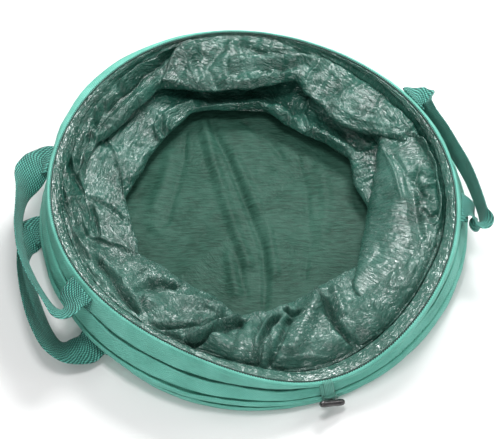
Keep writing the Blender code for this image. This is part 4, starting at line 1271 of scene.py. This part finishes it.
# ----------------------------------------------- wall strips between the hoops
def wall_strip(name, low, high, down, up):
    """The wall's outer course between two hoops: a low gathered strip when the
    bag is folded, and the whole wall when it stands open."""
    mid = 0.5 * (low + high)
    rows_n, parts, cols = 30, 48, 9
    gap = 0.0036
    share = np.linspace(0, 1, rows_n)
    # rows crowd so that they come out evenly spaced when drawn apart
    offs = (0.5 - np.sin(np.arcsin(1 - 2 * share) / 3) - 0.5) * gap * 1.02
    for s in range(parts):
        a = (s + np.linspace(0, 1, cols)) * 2 * PI / parts
        am = (s + 0.5) * 2 * PI / parts
        h0, h1 = float(level(mid, a[0])), float(level(mid, a[-1]))
        r0 = float(outside(np.array(mid), np.array(am))) - SLEEVE_DEPTH - 0.0012
        tangent = np.array([-math.sin(am), math.cos(am), 0.0])
        centre = np.array([r0 * math.cos(am), r0 * math.sin(am), 0.5 * (h0 + h1)])
        slope = (h1 - h0) / (2 * r0 * math.sin(PI / parts))
        pts = []
        for f, off in zip(share, offs):
            r = outside(mid + 0 * a, a) - SLEEVE_DEPTH - 0.0012
            wave = np.stack([np.cos(a) * 0.28, np.sin(a) * 0.28, 0 * a + f * 0.16], -1)
            r = r + (crumple(wave * np.array([1, 1, 0.5]), 0.03, low * 50) * 0.0010 + crumple(wave, 0.012, low * 90) * 0.0005)
            x, y = r * np.cos(a), r * np.sin(a)
            along = (x - centre[0]) * tangent[0] + (y - centre[1]) * tangent[1]
            pts.append(np.stack([x, y, centre[2] + slope * along + off], -1))
        # past both ends it lines the sleeves from behind
        foot, head = pts[0].copy(), pts[-1].copy()
        zf, zh = level(down, a), level(up, a)
        for k in (0.4, 1.0):
            row = foot.copy()
            row[:, 2] = foot[:, 2] + np.minimum(zf - foot[:, 2], -0.0004) * k
            pts.insert(0, row)
            row = head.copy()
            row[:, 2] = head[:, 2] + np.maximum(zh - head[:, 2], 0.0004) * k
            pts.append(row)
        P = np.stack(pts, 1)
        run = np.concatenate([[-0.05, -0.02], share, [1.02, 1.05]])
        obj = grid_piece(f"{name}_{s:02d}", P, LINING, uv=(a * 0.28, run * 0.195), flip=True)
        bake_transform(obj)
        ar = area_of(obj)


wall_strip("wall_course_lower", 0.155, 0.170, 0.030, 0.258)
wall_strip("wall_course_middle", 0.340, 0.360, 0.250, 0.511)
wall_strip("wall_course_upper", 0.655, 0.680, 0.503, 0.900)


# -------------------------------------------------------------------- handles
def webbing_handle(name, rear_az, front_az, low, high, route, handle_body, carrier_body, nodes, width, near, seed):
    """One length of webbing: sewn flat on the band, out and round, and back."""
    rear = [math.radians(rear_az)] * 1
    front = math.radians(front_az)
    rear = math.radians(rear_az)
    knots, acrosses = [], []
    tr = np.array([-math.sin(rear), math.cos(rear), 0.0])
    tf = np.array([-math.sin(front), math.cos(front), 0.0])
    for share in (low, low + 0.35 * (high - low), low + 0.7 * (high - low), high):
        r = float(outside(np.array(share), np.array(rear))) + 0.0022
        knots.append(np.array([r * math.cos(rear), r * math.sin(rear), float(level(share, np.array(rear)))]))
        acrosses.append(-tr * near)
    for p, w in route:
        knots.append(np.array(p, float))
        acrosses.append(unit(np.array(w, float)))
    for share in (high, low + 0.7 * (high - low), low + 0.35 * (high - low), low):
        r = float(outside(np.array(share), np.array(front))) + 0.0022
        knots.append(np.array([r * math.cos(front), r * math.sin(front), float(level(share, np.array(front)))]))
        acrosses.append(tf * near)
    mids = smooth_path(knots, 9)
    side = unit(smooth_path(acrosses, 9))
    tang = unit(np.gradient(mids, axis=0))
    side = unit(side - tang * (side * tang).sum(1, keepdims=True) * 0.9)
    ups = unit(np.cross(side, tang))
    s = np.concatenate([[0], np.cumsum(np.linalg.norm(np.diff(mids, axis=0), axis=1))])
    wave = noise(np.stack([s * 22, 0 * s + seed, 0 * s], -1)) * 0.0016
    ease = np.clip(np.minimum(s, s[-1] - s) / 0.05 - 0.6, 0, 1)
    mids = mids + ups * (wave * ease)[:, None]
    obj = ribbon_solid(name, mids, side, ups, width / 2, 0.0017, WEBBING, nw=14, crown=0.0)
    return obj, float(s[-1]), mids, side, ups


def hinge_point(az, share):
    a = math.radians(az)
    r = float(outside(np.array(share), np.array(a))) + 0.0121
    return np.array([r * math.cos(a), r * math.sin(a), float(level(share, np.array(a)))])


left_a, left_b = hinge_point(172, 0.90), hinge_point(217, 0.90)
right_a, right_b = hinge_point(34, 0.88), hinge_point(-7, 0.88)
tip_a, tip_b = hinge_point(186, 0.10), hinge_point(224.5, 0.10)
chord_l, chord_r, chord_t = unit(left_b - left_a), unit(right_b - right_a), unit(tip_b - tip_a)

LEFT_ROUTE = [
    (left_a, -chord_l),
    ((-0.3040, 0.0290, 0.0780), (-0.30, 0.92, 0.25)),
    ((-0.3120, 0.0130, 0.0750), (-0.24, 0.75, 0.60)),
    ((-0.3180, -0.0090, 0.0715), (-0.12, 0.35, 0.93)),
    ((-0.3190, -0.0400, 0.0695), (-0.05, 0.02, 1.00)),
    ((-0.3160, -0.0700, 0.0690), (-0.10, 0.00, 0.99)),
    ((-0.3085, -0.1000, 0.0690), (-0.18, -0.02, 0.98)),
    ((-0.2975, -0.1280, 0.0690), (-0.24, -0.05, 0.97)),
    ((-0.2840, -0.1520, 0.0690), (-0.26, -0.10, 0.96)),
    ((-0.2680, -0.1760, 0.0690), (-0.22, -0.22, 0.95)),
    ((-0.2520, -0.1905, 0.0705), (0.00, -0.62, 0.78)),
    ((-0.2400, -0.1890, 0.0745), (0.30, -0.85, 0.40)),
    (left_b, chord_l),
]
RIGHT_ROUTE = [
    (right_a * np.array([0.980, 0.980, 1.0]), -chord_r),
    ((0.2450, 0.1570, 0.0672), (-0.38, 0.86, 0.30)),
    ((0.2495, 0.1535, 0.0640), (-0.22, 0.52, 0.82)),
    ((0.2545, 0.1445, 0.0608), (-0.05, 0.15, 0.99)),
    ((0.2615, 0.1310, 0.0580), (0.00, 0.00, 1.00)),
    ((0.2745, 0.1060, 0.0560), (0.00, 0.00, 1.00)),
    ((0.2870, 0.0750, 0.0552), (0.00, 0.00, 1.00)),
    ((0.2985, 0.0450, 0.0550), (0.00, 0.00, 1.00)),
    ((0.3070, 0.0130, 0.0555), (0.00, 0.00, 1.00)),
    ((0.3120, -0.0160, 0.0568), (0.00, -0.03, 1.00)),
    ((0.3128, -0.0360, 0.0590), (0.02, -0.14, 0.99)),
    ((0.3100, -0.0500, 0.0624), (0.06, -0.47, 0.88)),
    ((0.3020, -0.0515, 0.0664), (0.14, -0.86, 0.46)),
    (right_b, chord_r),
]
TIP_ROUTE = [
    (tip_a, -chord_t),
    ((-0.3145, -0.0440, 0.0150), (-0.42, 0.85, 0.30)),
    ((-0.3170, -0.0580, 0.0195), (-0.30, 0.55, 0.78)),
    ((-0.3165, -0.0800, 0.0222), (-0.20, 0.12, 0.97)),
    ((-0.3110, -0.1080, 0.0226), (-0.32, -0.03, 0.95)),
    ((-0.3020, -0.1370, 0.0226), (-0.42, -0.12, 0.90)),
    ((-0.2920, -0.1660, 0.0222), (-0.46, -0.22, 0.86)),
    ((-0.2800, -0.1920, 0.0215), (-0.44, -0.36, 0.82)),
    ((-0.2660, -0.2130, 0.0190), (-0.25, -0.66, 0.71)),
    ((-0.2480, -0.2215, 0.0155), (0.20, -0.88, 0.42)),
    ((-0.2270, -0.2185, 0.0130), (0.43, -0.88, 0.12)),
    (tip_b, chord_t),
]


def hinge_blend(obj, a, b):
    """Bakes the webbing's placement into its mesh; the fold line between the sewn ends is worked out but not used."""
    middle = (a + b) / 2
    chord = unit(b - a)
    out = np.array([middle[0], middle[1], 0.0])
    out = unit(out - chord * (out @ chord))
    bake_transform(obj)


def tab_box(name, mids, side, ups, rows, half, body):
    """Box stitching with a cross, on a sewn end of the webbing."""
    lo, hi = rows
    def on(f, g):
        i = lo + (hi - lo) * f
        k = int(min(max(i, 0), len(mids) - 2))
        t = i - k
        m = mids[k] * (1 - t) + mids[k + 1] * t
        s = unit(side[k] * (1 - t) + side[k + 1] * t)
        u = unit(ups[k] * (1 - t) + ups[k + 1] * t)
        flip = 1.0 if u @ np.array([m[0], m[1], 0.0]) > 0 else -1.0
        return m + s * g * half + u * flip * 0.0010, u * flip
    objs = []
    corners = [(0.08, -0.82), (0.92, -0.82), (0.92, 0.82), (0.08, 0.82), (0.08, -0.82)]
    lines = [corners, [(0.08, -0.82), (0.92, 0.82)], [(0.08, 0.82), (0.92, -0.82)]]
    for j, line in enumerate(lines):
        P, O = [], []
        for (f0, g0), (f1, g1) in zip(line, line[1:]):
            for t in np.linspace(0, 1, 12, endpoint=False):
                p, o = on(f0 + (f1 - f0) * t, g0 + (g1 - g0) * t)
                P.append(p)
                O.append(o)
        p, o = on(*line[-1])
        P.append(p)
        O.append(o)
        obj = stitches(f"{name}_{j}", P, O, GREEN_THREAD, pitch=0.0034, length=0.0024, radius=0.0004)
        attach(obj, body)
        objs.append(obj)
    return objs


HANDLES = [
    ("left_carry_webbing", 172, 217, 0.715, 0.955, LEFT_ROUTE, "left_carry_handle", "rim",
     ["left_carry_handle", "left_handle_tab_rear", "left_handle_tab_front"], 0.046, left_a, left_b, 3.0),
    ("right_carry_webbing", 34, -7, 0.715, 0.955, RIGHT_ROUTE, "right_carry_handle", "rim",
     ["right_carry_handle", "right_handle_tab_rear", "right_handle_tab_front"], 0.046, right_a, right_b, 5.0),
    ("tipping_webbing", 186, 224.5, 0.025, 0.135, TIP_ROUTE, "tipping_handle", "base",
     ["tipping_handle", "tipping_handle_tab_rear", "tipping_handle_tab_front"], 0.046, tip_a, tip_b, 7.0),
]
for name, ra, fa, lo, hi, route, hb, cb, nodes, width, pa, pb, seed in HANDLES:
    near = -1.0 if name.startswith("right") else 1.0
    obj, length, mids, side, ups = webbing_handle(name, ra, fa, lo, hi, route, hb, cb, nodes, width, near, seed)
    hinge_blend(obj, pa, pb)
    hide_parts(*nodes)
    last = len(mids) - 1
    tab_box(name + "_box_rear", mids, side, ups, (0, 27), width / 2, cb)
    tab_box(name + "_box_front", mids, side, ups, (last, last - 27), width / 2, cb)


# --------------------------------------------------------------------- toggle
TOG = math.radians(-71.5)
OUTW = np.array([math.cos(TOG), math.sin(TOG), 0.0])
ALONG = np.array([-math.sin(TOG), math.cos(TOG), 0.0])
UPW = np.array([0.0, 0.0, 1.0])


BAR_TILT = math.radians(25.0)
BAR_LINE = ALONG * math.cos(BAR_TILT) - UPW * math.sin(BAR_TILT)
BAR_UP = ALONG * math.sin(BAR_TILT) + UPW * math.cos(BAR_TILT)


def tog(r, z, along=0.0):
    return OUTW * r + ALONG * along + UPW * z


top_r = float(outside(np.array(0.92), np.array(TOG))) + 0.0024
top_z = float(level(0.92, np.array(TOG)))
line = [
    tog(top_r - 0.0045, top_z + 0.0030), tog(top_r - 0.0010, top_z + 0.0022), tog(top_r + 0.0012, top_z - 0.0010),
    tog(0.3005, 0.0305), tog(0.3034, 0.0255), tog(0.3036, 0.0215), tog(0.3036, 0.0170),
]
mids = smooth_path(line, 6)
side = np.tile(ALONG, (len(mids), 1))
tang = unit(np.gradient(mids, axis=0))
ups = unit(np.cross(side, tang))
strap = ribbon_solid("toggle_webbing_strap", mids, side, ups, 0.0064, 0.0013, NARROW, nw=10)
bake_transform(strap)
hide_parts("toggle_strap")

line2 = [tog(top_r - 0.0052, top_z + 0.0022, -0.0085), tog(top_r + 0.0002, top_z - 0.0010, -0.0088),
         tog(0.2996, 0.0300, -0.0086), tog(0.3022, 0.0250, -0.0080), tog(0.3028, 0.0205, -0.0066)]
mids2 = smooth_path(line2, 6)
tang = unit(np.gradient(mids2, axis=0))
side2 = unit(np.tile(ALONG + 0.35 * OUTW, (len(mids2), 1)))
side2 = unit(side2 - tang * (side2 * tang).sum(1, keepdims=True))
ups2 = unit(np.cross(side2, tang))
strand = ribbon_solid("toggle_webbing_strand", mids2, side2, ups2, 0.0028, 0.0012, NARROW, nw=6)
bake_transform(strand)

# Collar: webbing gathered round the bar's stem, flaring downwards.
rows = []
for f in np.linspace(0, 1, 18):
    z = 0.0262 - 0.0125 * f
    half = 0.0078 + 0.0038 * f ** 1.4
    thick_ = 0.0018 + 0.0008 * math.sin(PI * f)
    ring = []
    for t in np.linspace(0, 2 * PI, 56, endpoint=False):
        ct, st = math.cos(t), math.sin(t)
        e = 0.55
        xx = half * math.copysign(abs(ct) ** e, ct)
        yy = thick_ * math.copysign(abs(st) ** e, st)
        pleat = 0.00035 * math.sin(xx / 0.0118 * 5 * PI) * (1 if st > 0 else 0.3) * (0.5 + f)
        ring.append(tog(0.3050 + (yy + pleat) * (1 if st != 0 else 0), z, xx))
    rows.append(ring)
P = np.array(rows)
collar = grid_piece("toggle_collar_cloth", P, NARROW, closed_v=True, uv=(np.linspace(0, 0.0125, 18), np.linspace(0, 0.046, 57)))
bm = bmesh.new()
bm.from_mesh(collar.data)
bm.verts.ensure_lookup_table()
bm.faces.new([bm.verts[k] for k in range(56)][::-1])
bm.faces.new([bm.verts[17 * 56 + k] for k in range(56)])
bmesh.ops.recalc_face_normals(bm, faces=bm.faces)
bm.to_mesh(collar.data)
bm.free()
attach(collar, "toggle_strap")
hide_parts("toggle_collar")

# Bar: a moulded cross-piece, waisted in the middle, with a seam round it.
half = 0.0188
rows = []
for x in np.sin(np.linspace(-PI / 2, PI / 2, 49)):
    e = abs(x)
    k = (1 - e ** 7) ** 0.42 * (0.90 + 0.10 * math.sin(min(e / 0.78, 1) * PI / 2) ** 2)
    k = max(k, 0.02)
    ring = []
    for t in np.linspace(0, 2 * PI, 40, endpoint=False):
        seam = 0.00016 * math.exp(-((math.sin(t)) / 0.07) ** 2)
        ring.append(tog(0.3130, 0.0195) + BAR_LINE * (x * half) + OUTW * ((0.0046 * k + seam * k) * math.cos(t)) + BAR_UP * (0.0047 * k * math.sin(t)))
    rows.append(ring)
P = np.array(rows)
bar = grid_piece("toggle_bar_moulding", P, PLASTIC, closed_v=True)
bm = bmesh.new()
bm.from_mesh(bar.data)
bm.verts.ensure_lookup_table()
bm.faces.new([bm.verts[k] for k in range(40)][::-1])
bm.faces.new([bm.verts[48 * 40 + k] for k in range(40)])
bmesh.ops.recalc_face_normals(bm, faces=bm.faces)
bm.to_mesh(bar.data)
bm.free()
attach(bar, "toggle_bar")
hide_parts("toggle_bar")
stem_rows = []
for f, k in ((0, 1.0), (0.4, 1.0), (0.7, 1.05), (1.0, 1.5)):
    stem_rows.append([tog(0.3052 + 0.0045 * f, 0.0195) + ALONG * (0.0020 * k * math.cos(t)) + UPW * (0.0020 * k * math.sin(t)) for t in np.linspace(0, 2 * PI, 20, endpoint=False)])
stem = grid_piece("toggle_bar_stem", np.array(stem_rows), PLASTIC, closed_v=True)
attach(stem, "toggle_bar")

# ----------------------------------------------- carried-over pieces' finishes
for node in ("spring_turn_base", "spring_turn_1", "spring_turn_2", "spring_turn_rim"):
    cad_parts[node].material_slots[0].material = STEEL
for node in ("spring_end_cap_base", "spring_end_cap_rim"):
    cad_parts[node].material_slots[0].material = PLASTIC


def braided(name, pts, radius, mat, pitch=0.0026, sides=16):
    """A cord with the crossing ridges of a braided cover."""
    pts = np.asarray(pts, float)
    s = np.concatenate([[0], np.cumsum(np.linalg.norm(np.diff(pts, axis=0), axis=1))])
    t = unit(np.gradient(pts, axis=0))
    n = np.tile(OUTW, (len(pts), 1))
    n = unit(n - t * (n * t).sum(1, keepdims=True))
    b = np.cross(t, n)
    ang = np.linspace(0, 2 * PI, sides, endpoint=False)
    turns = (s / pitch * 2 * PI)[:, None]
    ridge = np.maximum(np.sin(2 * ang[None] + turns), np.sin(2 * ang[None] - turns))
    rr = radius * (0.93 + 0.07 * ridge)
    ends = np.clip(np.minimum(s, s[-1] - s) / (radius * 0.8), 0, 1)
    rr = rr * np.sqrt(1 - (1 - ends) ** 2 + 1e-4)[:, None]
    P = pts[:, None] + rr[..., None] * (np.cos(ang)[None, :, None] * n[:, None] + np.sin(ang)[None, :, None] * b[:, None])
    return grid_piece(name, P, mat, closed_v=True)


LEG, LOW_Z, HIGH_Z = 0.0072, 0.0035, 0.0200
loop_r = 0.3012
route = [tog(loop_r, LOW_Z, -LEG), tog(loop_r, LOW_Z + 0.004, -LEG), tog(loop_r, 0.5 * (LOW_Z + HIGH_Z) + 0.002, -LEG)]
for i in range(9):
    t = PI * i / 8
    route.append(tog(loop_r, HIGH_Z + LEG * math.sin(t) * 0.8, -LEG * math.cos(t)))
route += [tog(loop_r, 0.5 * (LOW_Z + HIGH_Z) + 0.002, LEG), tog(loop_r, LOW_Z + 0.004, LEG), tog(loop_r, LOW_Z, LEG)]
route = smooth_path(route, 14)
loop = braided("toggle_loop_cord", route, 0.0010, ELASTIC)
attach(loop, "base")
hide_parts("toggle_loop")


# ----------------------------------------------------------- floor and light
def stage_cloth(name, rough):
    t = Tree(name)
    tc = t.add("TexCoord")
    n = t.noise(tc.outputs["Object"], 3.0, 3.0)
    colour = t.ramp(n, [(0.3, (0.90, 0.90, 0.90)), (0.7, (0.93, 0.93, 0.93))])
    fine = t.noise(tc.outputs["Object"], 300.0, 2.0)
    return t.end(Base__Color=colour, Roughness=t.grey(fine, [(0.3, rough), (0.7, rough + 0.08)]), Normal=t.bump(fine, 0.03, 0.0005), Specular__IOR__Level=0.2)


STAGE = stage_cloth("pale_sweep", 0.85)
prof = [(-3.2, 0.0), (1.6, 0.0)]
for t in np.linspace(0, PI / 2, 16)[1:]:
    prof.append((1.6 + 0.8 * math.sin(t), 0.8 - 0.8 * math.cos(t)))
prof.append((2.4, 3.4))
xs = np.linspace(-4, 4, 9)
P = np.array([[(x, y, z - 0.0004) for y, z in prof] for x in xs])
sweep = grid_piece("floor_and_backdrop", P, STAGE)

world = bpy.data.worlds.new("studio")
bpy.context.scene.world = world
world.use_nodes = True
wt = world.node_tree
bg = next(n for n in wt.nodes if n.type == "BACKGROUND")
wc = wt.nodes.new("ShaderNodeTexCoord")
dot = wt.nodes.new("ShaderNodeVectorMath")
dot.operation = "DOT_PRODUCT"
wt.links.new(wc.outputs["Generated"], dot.inputs[0])
dot.inputs[1].default_value = Vector((0.10, 0.62, 0.78)).normalized()
span = wt.nodes.new("ShaderNodeMapRange")
wt.links.new(dot.outputs["Value"], span.inputs["Value"])
span.inputs["From Min"].default_value = -0.25
span.inputs["From Max"].default_value = 0.95
span.inputs["To Min"].default_value = 0.06
span.inputs["To Max"].default_value = 0.55
wt.links.new(span.outputs["Result"], bg.inputs["Strength"])
bg.inputs["Color"].default_value = (1.0, 1.0, 1.0, 1.0)


def softbox(name, place, aim, size, radiance, size_y=None):
    """A rectangular softbox whose face has the given radiance."""
    data = bpy.data.lights.new(name, "AREA")
    data.shape = "RECTANGLE"
    data.size = size
    data.size_y = size_y or size
    data.energy = radiance * PI * data.size * data.size_y
    obj = link(bpy.data.objects.new(name, data))
    obj.location = place
    obj.rotation_euler = (Vector(aim) - Vector(place)).to_track_quat("-Z", "Y").to_euler()
    return obj


softbox("top_box", (-0.05, 0.10, 1.6), (0, 0, 0), 0.46, 17.0, 0.36)
softbox("left_box", (-1.6, 0.8, 1.2), (0, 0, 0), 0.45, 5.0, 0.7)
softbox("right_box", (1.6, 0.5, 1.2), (0, 0, 0), 0.45, 6.0, 0.8)
softbox("front_box", (0.2, -2.2, 1.1), (0, 0, 0), 1.2, 6.5, 0.7)
softbox("rear_box", (0.42, 1.22, 1.42), (0, 0, 0), 0.72, 36.0, 0.36)

scene = bpy.context.scene
scene.view_settings.view_transform = "Standard"
scene.view_settings.exposure = 0.0
